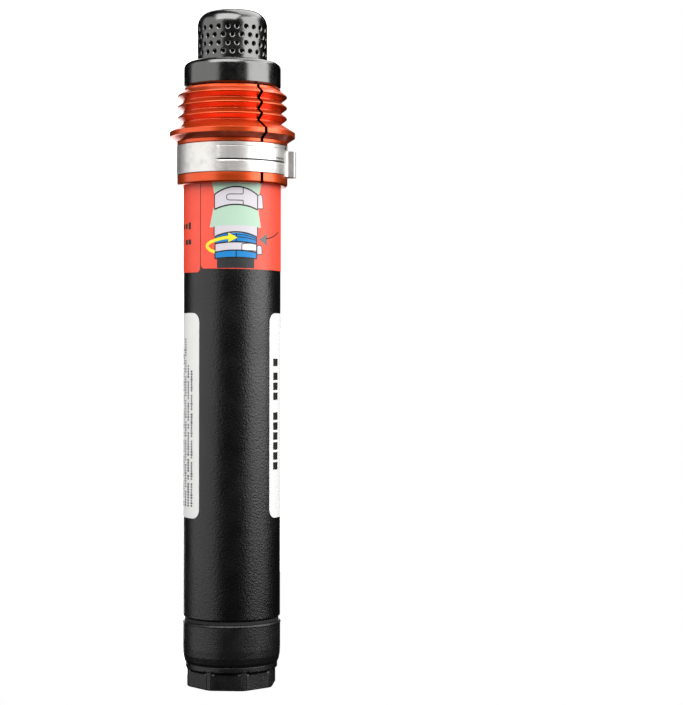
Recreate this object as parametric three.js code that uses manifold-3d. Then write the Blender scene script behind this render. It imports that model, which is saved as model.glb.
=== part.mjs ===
// Gas inflator cartridge for an inflatable life jacket: a steel gas cylinder with a perforated
// outlet head, a split locking sleeve held by an ear clamp, and an electric igniter under a screw cap.
// Millimetres, +Z up along the cylinder's axis, origin at the centre of the cap's flat underside.
// Angles are in degrees, counted from the front (-Y) towards +X.

import * as THREE from 'three';
import { mergeVertices } from 'three/addons/utils/BufferGeometryUtils.js';
import Module from 'manifold-3d';

const wasm = await Module();
wasm.setup();

// ---- Driving dimensions -------------------------------------------------------------------

const FINE = 48; // sides of the outside round surfaces
const COARSE = 32; // sides of the inside and grooved ones
const SMALL = 24; // sides of the small round pieces

const FIT = 0.1; // radial clearance between pieces that fit in or turn on each other
const SEAT = 0.05; // axial clearance between faces that bear on each other

// Gas cylinder: straight barrel, conical shoulder, narrower neck
const TUBE_RADIUS = 15;
const TUBE_WALL = 1.8;
const BARREL_LENGTH = 141;
const SHOULDER_HEIGHT = 6;
const NECK_STEP = 2.5;
const NECK_LENGTH = 16.5;
const TUBE_EDGE = 0.5;

// Screw cap with an eight-sided foot
const CAP_HEIGHT = 20;
const CAP_FLOOR = 3.1;
const CAP_STEP = 0.05; // the cap stands out from the barrel by this much
const CAP_CORNER_RADIUS = 7;
const CAP_CORNER_TOP = 10.4;
const CAP_LIP_HEIGHT = 0.7;
const CAP_LIP_STEP = 0.13;
const FOOT_STEP = 0.85;
const FOOT_FLATS = 8;
const FLAT_DEPTH = 1;
const FLAT_HEIGHT = 5.6;
const FOOT_CHAMFER = 0.4;
const FOOT_TURN = 15.4;
const CAP_WELL_STEP = 2.7;
const CAP_WELL_DEPTH = 5.4;

// Flat rubber ring between cap and cylinder
const SEAL_THICKNESS = 1;
const SEAL_STEP = 0.5;

// Igniter carrier, a steel plug in the cylinder's foot; the cap screws on its lower end
const THREAD_LENGTH = 11;
const PLUG_LENGTH = 13;
const PLUG_GROOVE_HEIGHT = 6;
const POCKET_RADIUS = 5.7;
const RETAINER_HEIGHT = 1;
const RETAINER_LEVEL = 10;
const HEADER_RADIUS = 5.2;
const HEADER_HEIGHT = 3.35;
const SQUIB_RADIUS = 4.3;
const SQUIB_LENGTH = 9.5;
const SQUIB_WALL = 0.4;
const PIN_RADIUS = 0.5;
const PIN_SPACING = 3;
const PIN_LENGTH = 11.7;
const PIN_ABOVE_HEADER = 0.8;
const INSERT_WALL = 1.4;
const INSERT_RECESS = 1;
const CLIP_WIDTH = 7.4;
const CLIP_HEIGHT = 3.5;
const CLIP_THICKNESS = 0.3;

// Booster cup on the carrier
const BOOSTER_RADIUS = 9;
const BOOSTER_HEIGHT = 11;
const BOOSTER_WALL = 0.5;
const BOOSTER_FLANGE = 2;
const BOOSTER_VENTS = 6;
const BOOSTER_VENT_RADIUS = 0.8;

// O-ring cords
const CORD_RADIUS = 0.85;
const CORD_SIDES = 8;

// Outlet head, closing the neck
const HEAD_HEIGHT = 7.8;
const HEAD_CORNER = 2;
const SPIGOT_LENGTH = 5;
const CHANNEL_RADIUS = 3;
const CHANNEL_MOUTH_RADIUS = 5;
const CHANNEL_MOUTH_DEPTH = 4.5;
const HEAD_BORE_DEPTH = 4;
const PLATE_RADIUS = 8.3;
const PLATE_THICKNESS = 1.9;
const PLATE_HOLE_RADIUS = 2;

// Burst disc and the ring that holds it
const DISC_STEP = 1.6;
const DISC_THICKNESS = 0.3;
const DISC_RISE = 1.5;
const DISC_RING_HEIGHT = 2.2;
const DISC_RING_OPENING = 6;

// Fill plug in the neck
const FILL_PLUG_RADIUS = 1.5;
const FILL_PLUG_LENGTH = 1.5;
const FILL_PLUG_HEIGHT = 4;
const FILL_PLUG_ANGLE = 180;

// Perforated diffuser and the screen inside it
const DIFFUSER_RADIUS = 10.8;
const DIFFUSER_WALL = 0.8;
const DIFFUSER_RISE = 15.9;
const DIFFUSER_CORNER = 4.6;
const HOLE_ROWS = 4;
const HOLES_PER_ROW = 24;
const HOLE_RADIUS = 0.55;
const HOLE_ROW_PITCH = 2.5;
const FIRST_ROW = 2.35;
const SCREEN_WALL = 0.35;
const SCREEN_TOP_GAP = 5;

// Split locking sleeve
const SLEEVE_GAP = 0.45;
const SLEEVE_LENGTH = 30.05;
const SLEEVE_WALL = 2.1;
const SLEEVE_TURNING_FIT = 0.15;
const SLEEVE_LIP_HEIGHT = 3.1;
const SLEEVE_LIP_CORNER = 0.8;
const SLEEVE_TOP_STEP = 0.2;
const FLANGE_REACH = 2.35;
const FLANGE_RIM = 1.5;
const FLANGE_EDGE = 0.45;
const FLANGE_UNDER_RISE = 1.5;
const FLANGE_TOP_RISE = 2.8;
const FLANGE_BAND_GAP = 1.1;
const RIDGES = 3;
const RIDGE_PITCH = 3.35;
const RIDGE_DEPTH = 1.9;
const VALLEY_STEP = 0.1;
const RIDGE_TIP = 0.35;
const SLOT_WIDTH = 1;
const SLOT_ANGLE = 31.7;

// Ear clamp in the sleeve's groove
const BAND_HEIGHT = 9;
const BAND_THICKNESS = 0.6;
const BAND_DEPTH = 0.4;
const BAND_SIDE_GAP = 0.2;
const EAR_ANGLE = 86;
const EAR_WIDTH = 5;
const EAR_RISE = 2.4;
const EAR_HEIGHT = 8;
const EAR_DROP = 0.5;
const EAR_CORNER = 0.6;

// Wrap labels
const LABEL_THICKNESS = 0.1;
const LABEL_GAP = 0.05;
const RED_LABEL_HEIGHT = 25.9;
const RED_LABEL_SEAM = -41;
const RED_LABEL_SEAM_WIDTH = 0.3;
const DATA_LABEL_LOW = 31;
const DATA_LABEL_GAP = 12.8;
const DATA_LABEL_START = 50.4;
const DATA_LABEL_SWEEP = 266.6;

// ---- Derived sizes and levels -------------------------------------------------------------

const tubeBore = TUBE_RADIUS - TUBE_WALL;
const neckOuter = TUBE_RADIUS - NECK_STEP;
const neckBore = neckOuter - TUBE_WALL;
const threadRadius = tubeBore - FIT;
const spigotRadius = neckBore - FIT;
const capRadius = TUBE_RADIUS + CAP_STEP;
const footRadius = capRadius - FOOT_STEP;
const flatRadius = footRadius - FLAT_DEPTH;
const sleeveRadius = TUBE_RADIUS + SLEEVE_WALL;
const flangeRadius = sleeveRadius + FLANGE_REACH;
const valleyRadius = TUBE_RADIUS + VALLEY_STEP;
const ridgeRadius = valleyRadius + RIDGE_DEPTH;

const footLevel = CAP_HEIGHT + SEAL_THICKNESS + 2 * SEAT;
const shoulderLevel = footLevel + BARREL_LENGTH;
const neckLevel = shoulderLevel + SHOULDER_HEIGHT;
const headLevel = neckLevel + NECK_LENGTH;
const diffuserLevel = headLevel + HEAD_HEIGHT - HEAD_BORE_DEPTH + SEAT;
const diffuserLength = DIFFUSER_RISE + HEAD_BORE_DEPTH - SEAT;
const carrierLevel = footLevel - THREAD_LENGTH;
const carrierLength = THREAD_LENGTH + PLUG_LENGTH;
const sleeveLevel = headLevel - SLEEVE_GAP - SLEEVE_LENGTH;
const grooveHeight = BAND_HEIGHT + 2 * BAND_SIDE_GAP;
const bandInner = sleeveRadius - BAND_DEPTH;
const bandOuter = bandInner + BAND_THICKNESS;
const labelInner = TUBE_RADIUS + LABEL_GAP;
const labelOuter = labelInner + LABEL_THICKNESS;

// ---- Materials ----------------------------------------------------------------------------

const finish = (color, roughness, metalness) =>
  new THREE.MeshStandardMaterial({ color, roughness, metalness });

const BLACK_PAINT = finish(0x1c1c1d, 0.5, 0.1);
const BLACK_STEEL = finish(0x1a1a1b, 0.35, 0.7);
const BLACK_NYLON = finish(0x201f1f, 0.5, 0);
const ORANGE_ANODISED = finish(0xd9461c, 0.35, 0.6);
const STAINLESS = finish(0xc9c8c5, 0.3, 1);
const TURNED_STEEL = finish(0x9fa1a4, 0.4, 1);
const BRASS_PINS = finish(0xc9a44a, 0.3, 1);
const RUBBER = finish(0x111111, 0.8, 0);
const RED_FILM = finish(0xf0604c, 0.45, 0);
const WHITE_FILM = finish(0xf2f2f0, 0.5, 0);
const YELLOW_PLASTIC = finish(0xd8b23a, 0.5, 0);
const POWDER = finish(0x8d8f86, 0.9, 0);

// ---- Shape helpers ------------------------------------------------------------------------

// A closed geometry as a solid, with its shared corners merged.
function solid(geometry) {
  const bare = geometry.clone();
  bare.deleteAttribute('normal');
  bare.deleteAttribute('uv');
  const merged = mergeVertices(bare, 1e-4);
  const corners = merged.index.array;
  const triangles = [];
  for (let i = 0; i < corners.length; i += 3) {
    const [a, b, c] = [corners[i], corners[i + 1], corners[i + 2]];
    if (a !== b && b !== c && c !== a) triangles.push(a, b, c);
  }
  const vertProperties = new Float32Array(merged.attributes.position.array);
  const triVerts = new Uint32Array(triangles);
  return new wasm.Manifold(new wasm.Mesh({ numProp: 3, vertProperties, triVerts }));
}

// A profile of [radius, height] points, listed anticlockwise, turned about the Z axis.
// It starts and ends on the axis, or closes on itself as a ring.
function turned(profile, sides) {
  const points = profile.map(([radius, height]) => new THREE.Vector2(radius, height));
  const onAxis = points[0].x === 0 && points[points.length - 1].x === 0;
  if (!onAxis) points.push(points[0].clone());
  return solid(new THREE.LatheGeometry(points, sides).rotateX(Math.PI / 2));
}

function ring(inner, outer, low, high, sides) {
  return turned([[outer, low], [outer, high], [inner, high], [inner, low]], sides);
}

function disc(radius, low, high, sides) {
  return turned([[0, low], [radius, low], [radius, high], [0, high]], sides);
}

// Points of an arc in a [radius, height] profile, from one angle to another about a centre.
function arc(centreRadius, centreHeight, radius, fromDegrees, toDegrees, steps) {
  return Array.from({ length: steps + 1 }, (_, i) => {
    const angle = THREE.MathUtils.degToRad(fromDegrees + ((toDegrees - fromDegrees) * i) / steps);
    return [centreRadius + radius * Math.cos(angle), centreHeight + radius * Math.sin(angle)];
  });
}

// A round bar along the front radius, turned to an angle about Z.
function radialBar(radius, from, to, height, degrees, sides) {
  const bar = new THREE.CylinderGeometry(radius, radius, to - from, sides);
  bar.translate(0, -(from + to) / 2, height);
  return solid(bar.rotateZ(THREE.MathUtils.degToRad(degrees)));
}

function uprightBar(radius, x, low, high, sides) {
  const bar = new THREE.CylinderGeometry(radius, radius, high - low, sides);
  return solid(bar.rotateX(Math.PI / 2).translate(x, 0, (low + high) / 2));
}

// A block standing on the front radius, turned to an angle about Z.
function radialBlock(width, from, to, low, high, degrees) {
  const block = new THREE.BoxGeometry(width, to - from, high - low);
  block.translate(0, -(from + to) / 2, (low + high) / 2);
  return solid(block.rotateZ(THREE.MathUtils.degToRad(degrees)));
}

// A strip of a thin tube, from one angle round to another.
function wrap(inner, outer, height, startDegrees, sweepDegrees) {
  const start = THREE.MathUtils.degToRad(startDegrees - 90);
  const end = start + THREE.MathUtils.degToRad(sweepDegrees);
  const outline = new THREE.Shape();
  outline.absarc(0, 0, outer, start, end, false);
  outline.absarc(0, 0, inner, end, start, true);
  outline.closePath();
  const steps = Math.ceil((FINE * sweepDegrees) / 360);
  return solid(new THREE.ExtrudeGeometry(outline, {
    depth: height, bevelEnabled: false, curveSegments: steps,
  }));
}

const part = new THREE.Group();
part.name = 'gas_inflator';

// A solid, made with its own foot at height 0, set at its level on the axis.
function add(name, shape, material, level) {
  const { vertProperties, triVerts } = shape.getMesh();
  const geometry = new THREE.BufferGeometry();
  geometry.setAttribute('position', new THREE.BufferAttribute(new Float32Array(vertProperties), 3));
  geometry.setIndex(new THREE.BufferAttribute(new Uint32Array(triVerts), 1));
  geometry.computeVertexNormals();
  const mesh = new THREE.Mesh(geometry, material);
  mesh.name = name;
  mesh.position.z = level;
  part.add(mesh);
}

// ---- Gas cylinder -------------------------------------------------------------------------

function cylinderTube() {
  const shoulder = BARREL_LENGTH + SHOULDER_HEIGHT;
  const top = shoulder + NECK_LENGTH;
  const body = turned([
    [TUBE_RADIUS - TUBE_EDGE, 0],
    [TUBE_RADIUS, TUBE_EDGE],
    [TUBE_RADIUS, BARREL_LENGTH],
    [neckOuter, shoulder],
    [neckOuter, top],
    [neckBore, top],
    [neckBore, shoulder],
    [tubeBore, BARREL_LENGTH],
    [tubeBore, 0],
  ], FINE);
  const fillHole = radialBar(FILL_PLUG_RADIUS + FIT, neckBore - 1, neckOuter + 1,
    shoulder + FILL_PLUG_HEIGHT, FILL_PLUG_ANGLE, 16);
  return body.subtract(fillHole);
}

function fillPlug() {
  const middle = (neckBore + neckOuter) / 2;
  return radialBar(FILL_PLUG_RADIUS, middle - FILL_PLUG_LENGTH / 2, middle + FILL_PLUG_LENGTH / 2,
    0, FILL_PLUG_ANGLE, 16);
}

add('cylinder_tube', cylinderTube(), BLACK_PAINT, footLevel);
add('fill_plug', fillPlug(), TURNED_STEEL, neckLevel + FILL_PLUG_HEIGHT);

// ---- Screw cap and its seal ---------------------------------------------------------------

function endCap() {
  const cornerCentre = capRadius - CAP_CORNER_RADIUS;
  const footReach = (footRadius - cornerCentre) / CAP_CORNER_RADIUS;
  const footAngle = -THREE.MathUtils.radToDeg(Math.acos(footReach));
  const lipLow = CAP_HEIGHT - CAP_LIP_HEIGHT;
  const threadLow = CAP_FLOOR + CAP_WELL_DEPTH;
  const wellRadius = threadRadius + FIT - CAP_WELL_STEP;
  const body = turned([
    [0, 0],
    [footRadius - FOOT_CHAMFER, 0],
    [footRadius, FOOT_CHAMFER],
    ...arc(cornerCentre, CAP_CORNER_TOP, CAP_CORNER_RADIUS, footAngle, 0, 4),
    [capRadius, lipLow],
    [capRadius + CAP_LIP_STEP, lipLow + CAP_LIP_STEP],
    [capRadius + CAP_LIP_STEP, CAP_HEIGHT],
    [threadRadius + FIT, CAP_HEIGHT],
    [threadRadius + FIT, threadLow],
    [wellRadius, threadLow],
    [wellRadius, CAP_FLOOR],
    [0, CAP_FLOOR],
  ], FINE);
  const pitch = 360 / FOOT_FLATS;
  return Array.from({ length: FOOT_FLATS }).reduce((shape, _, i) => {
    const angle = FOOT_TURN + (i + 0.5) * pitch;
    return shape.subtract(radialBlock(2 * capRadius, flatRadius, capRadius, -1, FLAT_HEIGHT, angle));
  }, body);
}

add('end_cap', endCap(), BLACK_NYLON, 0);
add('cap_seal', ring(threadRadius + FIT, TUBE_RADIUS - SEAL_STEP, 0, SEAL_THICKNESS, COARSE), RUBBER,
  CAP_HEIGHT + SEAT);

// ---- Igniter carrier and what it holds ----------------------------------------------------

const headerLow = RETAINER_LEVEL + RETAINER_HEIGHT + SEAT;
const headerHigh = headerLow + HEADER_HEIGHT;
const squibLow = headerHigh + SEAT;

function igniterCarrier() {
  const grooveLow = THREAD_LENGTH + PLUG_GROOVE_HEIGHT;
  const grooveHigh = grooveLow + 2 * CORD_RADIUS + 2 * FIT;
  const grooveFloor = tubeBore - SEAT - 2 * CORD_RADIUS - 2 * FIT;
  const seat = headerLow + HEADER_HEIGHT + SEAT;
  return turned([
    [threadRadius, 0],
    [threadRadius, grooveLow],
    [grooveFloor, grooveLow],
    [grooveFloor, grooveHigh],
    [threadRadius, grooveHigh],
    [threadRadius, carrierLength],
    [SQUIB_RADIUS + FIT, carrierLength],
    [SQUIB_RADIUS + FIT, seat],
    [HEADER_RADIUS + FIT, seat],
    [HEADER_RADIUS + FIT, RETAINER_LEVEL + RETAINER_HEIGHT],
    [POCKET_RADIUS, RETAINER_LEVEL + RETAINER_HEIGHT],
    [POCKET_RADIUS, 0],
  ], COARSE);
}

function oRing(outerRadius) {
  return turned(arc(outerRadius - CORD_RADIUS, CORD_RADIUS, CORD_RADIUS, 0,
    360 - 360 / CORD_SIDES, CORD_SIDES - 1), SMALL);
}

function header() {
  const holes = [-0.5, 0.5].map((side) =>
    uprightBar(PIN_RADIUS + SEAT, side * PIN_SPACING, -1, HEADER_HEIGHT + 1, 12));
  return holes.reduce((shape, hole) => shape.subtract(hole),
    disc(HEADER_RADIUS, 0, HEADER_HEIGHT, SMALL));
}

function squibCup() {
  const inner = SQUIB_RADIUS - SQUIB_WALL;
  const ceiling = SQUIB_LENGTH - SQUIB_WALL;
  return turned([
    [0, ceiling], [inner, ceiling], [inner, 0], [SQUIB_RADIUS, 0],
    [SQUIB_RADIUS, ceiling], [inner, SQUIB_LENGTH], [0, SQUIB_LENGTH],
  ], SMALL);
}

function boosterCup() {
  const inner = BOOSTER_RADIUS - BOOSTER_WALL;
  const ceiling = BOOSTER_HEIGHT - BOOSTER_WALL;
  const cup = turned([
    [0, ceiling], [inner, ceiling], [inner, 0], [BOOSTER_RADIUS + BOOSTER_FLANGE, 0],
    [BOOSTER_RADIUS + BOOSTER_FLANGE, BOOSTER_WALL], [BOOSTER_RADIUS, BOOSTER_WALL],
    [BOOSTER_RADIUS, ceiling], [inner, BOOSTER_HEIGHT], [0, BOOSTER_HEIGHT],
  ], SMALL);
  const vents = Array.from({ length: BOOSTER_VENTS }, (_, i) =>
    radialBar(BOOSTER_VENT_RADIUS, inner - 1, BOOSTER_RADIUS + 1, BOOSTER_HEIGHT / 2,
      ((i + 0.5) * 360) / SMALL + (i * 360) / BOOSTER_VENTS, 8));
  return vents.reduce((shape, vent) => shape.subtract(vent), cup);
}

add('igniter_carrier', igniterCarrier(), TURNED_STEEL, carrierLevel);
add('carrier_o_ring', oRing(tubeBore - SEAT), RUBBER,
  carrierLevel + THREAD_LENGTH + PLUG_GROOVE_HEIGHT + FIT);

const retainerBore = SQUIB_RADIUS + FIT;
add('header_retainer', ring(retainerBore, POCKET_RADIUS - FIT, 0, RETAINER_HEIGHT, SMALL),
  TURNED_STEEL, carrierLevel + RETAINER_LEVEL);
add('igniter_header', header(), TURNED_STEEL, carrierLevel + headerLow);
add('squib_cup', squibCup(), STAINLESS, carrierLevel + squibLow);

const insertLength = RETAINER_LEVEL - INSERT_RECESS - SEAT;
const insertRadius = POCKET_RADIUS - FIT;
add('connector_insert', ring(insertRadius - INSERT_WALL, insertRadius, 0, insertLength, SMALL),
  YELLOW_PLASTIC, carrierLevel + INSERT_RECESS);

// The shorting clip is a flat spring strip across the insert, just in front of both pins.
const clip = radialBlock(CLIP_WIDTH, PIN_RADIUS + CLIP_THICKNESS, PIN_RADIUS + 2 * CLIP_THICKNESS,
  -CLIP_HEIGHT, 0, 0);
add('shorting_clip', clip, STAINLESS, carrierLevel + RETAINER_LEVEL - SEAT);

['left', 'right'].forEach((side, i) => {
  const pin = uprightBar(PIN_RADIUS, (i - 0.5) * PIN_SPACING, -PIN_LENGTH, 0, 12);
  add(`contact_pin_${side}`, pin, BRASS_PINS, carrierLevel + headerHigh + PIN_ABOVE_HEADER);
});

const boosterLevel = carrierLevel + carrierLength + SEAT;
const chargeRadius = BOOSTER_RADIUS - BOOSTER_WALL - 2 * FIT;
const chargeHeight = BOOSTER_HEIGHT - BOOSTER_WALL - 4 * FIT;
add('booster_cup', boosterCup(), STAINLESS, boosterLevel);
add('booster_charge', disc(chargeRadius, 0, chargeHeight, SMALL), POWDER, boosterLevel + 2 * FIT);

// ---- Outlet head and what it holds --------------------------------------------------------

const grooveLow = SPIGOT_LENGTH / 2 - CORD_RADIUS - FIT;
const channelTop = SPIGOT_LENGTH + HEAD_HEIGHT - HEAD_BORE_DEPTH - PLATE_THICKNESS - 2 * SEAT;

function outletHead() {
  const top = SPIGOT_LENGTH + HEAD_HEIGHT;
  const boreFloor = top - HEAD_BORE_DEPTH;
  const grooveFloor = neckBore - SEAT - 2 * CORD_RADIUS - 2 * FIT;
  const grooveHigh = grooveLow + 2 * CORD_RADIUS + 2 * FIT;
  return turned([
    [spigotRadius, 0],
    [spigotRadius, grooveLow],
    [grooveFloor, grooveLow],
    [grooveFloor, grooveHigh],
    [spigotRadius, grooveHigh],
    [spigotRadius, SPIGOT_LENGTH],
    [TUBE_RADIUS - TUBE_EDGE, SPIGOT_LENGTH],
    [TUBE_RADIUS, SPIGOT_LENGTH + TUBE_EDGE],
    ...arc(TUBE_RADIUS - HEAD_CORNER, top - HEAD_CORNER, HEAD_CORNER, 0, 90, 4),
    [DIFFUSER_RADIUS + FIT, top],
    [DIFFUSER_RADIUS + FIT, boreFloor],
    [PLATE_RADIUS + FIT, boreFloor],
    [PLATE_RADIUS + FIT, channelTop],
    [CHANNEL_RADIUS, channelTop],
    [CHANNEL_RADIUS, CHANNEL_MOUTH_DEPTH],
    [CHANNEL_MOUTH_RADIUS, CHANNEL_MOUTH_DEPTH],
    [CHANNEL_MOUTH_RADIUS, 0],
  ], COARSE);
}

function burstDisc() {
  const domeRadius = CHANNEL_MOUTH_RADIUS - FIT;
  const rise = DISC_RISE + DISC_THICKNESS;
  return turned([
    [0, DISC_RISE],
    [domeRadius * 0.6, DISC_RISE * 0.64],
    [domeRadius - DISC_THICKNESS, 0],
    [spigotRadius - DISC_STEP, 0],
    [spigotRadius - DISC_STEP, DISC_THICKNESS],
    [domeRadius, DISC_THICKNESS],
    [domeRadius * 0.6, DISC_RISE * 0.64 + DISC_THICKNESS],
    [0, rise],
  ], SMALL);
}

function diffuserCap() {
  const innerCorner = DIFFUSER_CORNER - DIFFUSER_WALL;
  const centre = DIFFUSER_RADIUS - DIFFUSER_CORNER;
  const height = diffuserLength - DIFFUSER_CORNER;
  const cup = turned([
    [0, diffuserLength - DIFFUSER_WALL],
    ...arc(centre, height, innerCorner, 90, 0, 3),
    [DIFFUSER_RADIUS - DIFFUSER_WALL, 0],
    [DIFFUSER_RADIUS, 0],
    ...arc(centre, height, DIFFUSER_CORNER, 0, 90, 4),
    [0, diffuserLength],
  ], 2 * HOLES_PER_ROW).rotate([0, 0, 90 / HOLES_PER_ROW]);
  const holes = [];
  for (let row = 0; row < HOLE_ROWS; row += 1) {
    const height = HEAD_BORE_DEPTH - SEAT + FIRST_ROW + row * HOLE_ROW_PITCH;
    for (let i = 0; i < HOLES_PER_ROW; i += 1) {
      const angle = ((i + (row % 2) / 2) * 360) / HOLES_PER_ROW;
      holes.push(radialBar(HOLE_RADIUS, DIFFUSER_RADIUS - 2 * DIFFUSER_WALL,
        DIFFUSER_RADIUS + DIFFUSER_WALL, height, angle, 6));
    }
  }
  return wasm.Manifold.difference([cup, ...holes]);
}

const spigotLevel = headLevel - SPIGOT_LENGTH;
const discLevel = spigotLevel - SEAT - DISC_THICKNESS;
const discRing = ring(DISC_RING_OPENING, neckBore - 2 * FIT, 0, DISC_RING_HEIGHT, SMALL);
const plate = ring(PLATE_HOLE_RADIUS, PLATE_RADIUS, 0, PLATE_THICKNESS, SMALL);
const screenOuter = DIFFUSER_RADIUS - DIFFUSER_WALL - FIT;
const screenLength = diffuserLength - SCREEN_TOP_GAP;

add('outlet_head', outletHead(), BLACK_STEEL, spigotLevel);
add('head_o_ring', oRing(neckBore - SEAT), RUBBER, spigotLevel + grooveLow + FIT);
add('burst_disc', burstDisc(), STAINLESS, discLevel);
add('disc_ring', discRing, TURNED_STEEL, discLevel - SEAT - DISC_RING_HEIGHT);
add('orifice_plate', plate, TURNED_STEEL, spigotLevel + channelTop + SEAT);
add('filter_screen', ring(screenOuter - SCREEN_WALL, screenOuter, 0, screenLength, SMALL),
  STAINLESS, diffuserLevel);
add('diffuser_cap', diffuserCap(), BLACK_STEEL, diffuserLevel);

// ---- Split sleeve and its ear clamp -------------------------------------------------------

const grooveFoot = SLEEVE_LIP_HEIGHT;
const grooveTop = grooveFoot + grooveHeight;
const grooveFloorRadius = bandInner - FIT;
const flangeFoot = grooveTop + FLANGE_BAND_GAP;
const rimLow = flangeFoot + FLANGE_UNDER_RISE;
const rimHigh = rimLow + FLANGE_RIM;
const ridgeFoot = rimHigh + FLANGE_TOP_RISE;

function splitSleeve() {
  const boreRadius = TUBE_RADIUS + SLEEVE_TURNING_FIT;
  const neckRadius = neckOuter + 2 * SLEEVE_TURNING_FIT;
  const shoulderFoot = shoulderLevel - sleeveLevel;
  const ridgeProfile = [];
  for (let i = 0; i < RIDGES; i += 1) {
    const middle = ridgeFoot + (i + 0.5) * RIDGE_PITCH;
    ridgeProfile.push([ridgeRadius, middle - RIDGE_TIP], [ridgeRadius, middle + RIDGE_TIP]);
    ridgeProfile.push([valleyRadius, middle + RIDGE_PITCH / 2]);
  }
  const body = turned([
    [boreRadius, 0],
    ...arc(sleeveRadius - SLEEVE_LIP_CORNER, SLEEVE_LIP_CORNER, SLEEVE_LIP_CORNER, -90, 0, 3),
    [sleeveRadius, grooveFoot],
    [grooveFloorRadius, grooveFoot],
    [grooveFloorRadius, grooveTop],
    [sleeveRadius, grooveTop],
    [sleeveRadius, flangeFoot],
    [flangeRadius - FLANGE_EDGE, rimLow - FLANGE_EDGE / 2],
    [flangeRadius, rimLow],
    [flangeRadius, rimHigh],
    [flangeRadius - FLANGE_EDGE, rimHigh + FLANGE_EDGE / 2],
    [valleyRadius, ridgeFoot],
    ...ridgeProfile,
    [valleyRadius - SLEEVE_TOP_STEP, SLEEVE_LENGTH],
    [neckRadius, SLEEVE_LENGTH],
    [neckRadius, shoulderFoot + SHOULDER_HEIGHT + SEAT],
    [boreRadius, shoulderFoot + SEAT],
  ], COARSE);
  const slot = radialBlock(SLOT_WIDTH, neckOuter - 1, flangeRadius + 1, -1, SLEEVE_LENGTH + 1,
    SLOT_ANGLE);
  return body.subtract(slot);
}

// The band is a closed ring; its ear is a bridge folded out of it, open above and below.
function earClamp() {
  const band = ring(bandInner, bandOuter, 0, BAND_HEIGHT, COARSE);
  const earLow = (BAND_HEIGHT - EAR_HEIGHT) / 2 - EAR_DROP;
  const half = EAR_WIDTH / 2;
  const crown = bandOuter + EAR_RISE;
  const foot = bandInner + BAND_THICKNESS / 2;
  const bend = [half - EAR_CORNER, crown - EAR_CORNER];
  const bridge = new THREE.Shape([
    [half, foot],
    ...arc(bend[0], bend[1], EAR_CORNER, 0, 90, 3),
    ...arc(-bend[0], bend[1], EAR_CORNER, 90, 180, 3),
    [-half, foot],
  ].map(([x, y]) => new THREE.Vector2(x, -y)));
  const block = new THREE.ExtrudeGeometry(bridge, { depth: EAR_HEIGHT, bevelEnabled: false });
  block.translate(0, 0, earLow).rotateZ(THREE.MathUtils.degToRad(EAR_ANGLE));
  const window = radialBlock(EAR_WIDTH - 2 * BAND_THICKNESS, bandOuter, crown - BAND_THICKNESS,
    earLow - 1, earLow + EAR_HEIGHT + 1, EAR_ANGLE);
  return band.add(solid(block).subtract(window));
}

add('split_sleeve', splitSleeve(), ORANGE_ANODISED, sleeveLevel);
add('ear_clamp', earClamp(), STAINLESS, sleeveLevel + grooveFoot + BAND_SIDE_GAP);

// ---- Labels -------------------------------------------------------------------------------

const redLabelLevel = sleeveLevel - 3 * FIT - RED_LABEL_HEIGHT;
const seamHalfAngle = THREE.MathUtils.radToDeg(RED_LABEL_SEAM_WIDTH / 2 / labelInner);
add('instruction_label', wrap(labelInner, labelOuter, RED_LABEL_HEIGHT,
  RED_LABEL_SEAM + seamHalfAngle, 360 - 2 * seamHalfAngle), RED_FILM, redLabelLevel);
const dataLabelLevel = footLevel + DATA_LABEL_LOW;
const dataLabelHeight = redLabelLevel - DATA_LABEL_GAP - dataLabelLevel;
add('data_label', wrap(labelInner, labelOuter, dataLabelHeight, DATA_LABEL_START,
  DATA_LABEL_SWEEP), WHITE_FILM, dataLabelLevel);

export default part;
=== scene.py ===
import math

import bpy
import numpy as np
from mathutils import Matrix, Vector


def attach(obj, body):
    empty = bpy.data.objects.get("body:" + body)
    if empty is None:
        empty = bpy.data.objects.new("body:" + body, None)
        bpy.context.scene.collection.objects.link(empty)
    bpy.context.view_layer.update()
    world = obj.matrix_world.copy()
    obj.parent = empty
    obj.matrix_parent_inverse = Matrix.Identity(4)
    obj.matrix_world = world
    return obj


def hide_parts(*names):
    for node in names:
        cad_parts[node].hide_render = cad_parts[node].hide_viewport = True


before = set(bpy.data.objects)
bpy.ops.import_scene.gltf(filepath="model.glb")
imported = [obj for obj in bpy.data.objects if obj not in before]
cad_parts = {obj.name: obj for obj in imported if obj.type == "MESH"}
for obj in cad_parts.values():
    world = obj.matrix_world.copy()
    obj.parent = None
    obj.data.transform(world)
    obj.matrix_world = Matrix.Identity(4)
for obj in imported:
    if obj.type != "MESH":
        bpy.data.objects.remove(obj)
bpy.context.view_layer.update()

# ---- Gas cylinder -------------------------
# A cold-drawn steel tube with a coned shoulder and a narrower neck. It is sprayed with black
# epoxy paint and baked, which leaves a satin skin with a fine orange-peel grain. Sizes are in mm.

BARREL_RADIUS = 15.0
BARREL_BORE = 13.2
NECK_RADIUS = 12.5
NECK_BORE = 10.7
FOOT_LEVEL = 21.1
SHOULDER_LOW = 162.1
SHOULDER_HIGH = 168.1
NECK_TOP = 184.6
FOOT_CHAMFER = 0.5


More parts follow.
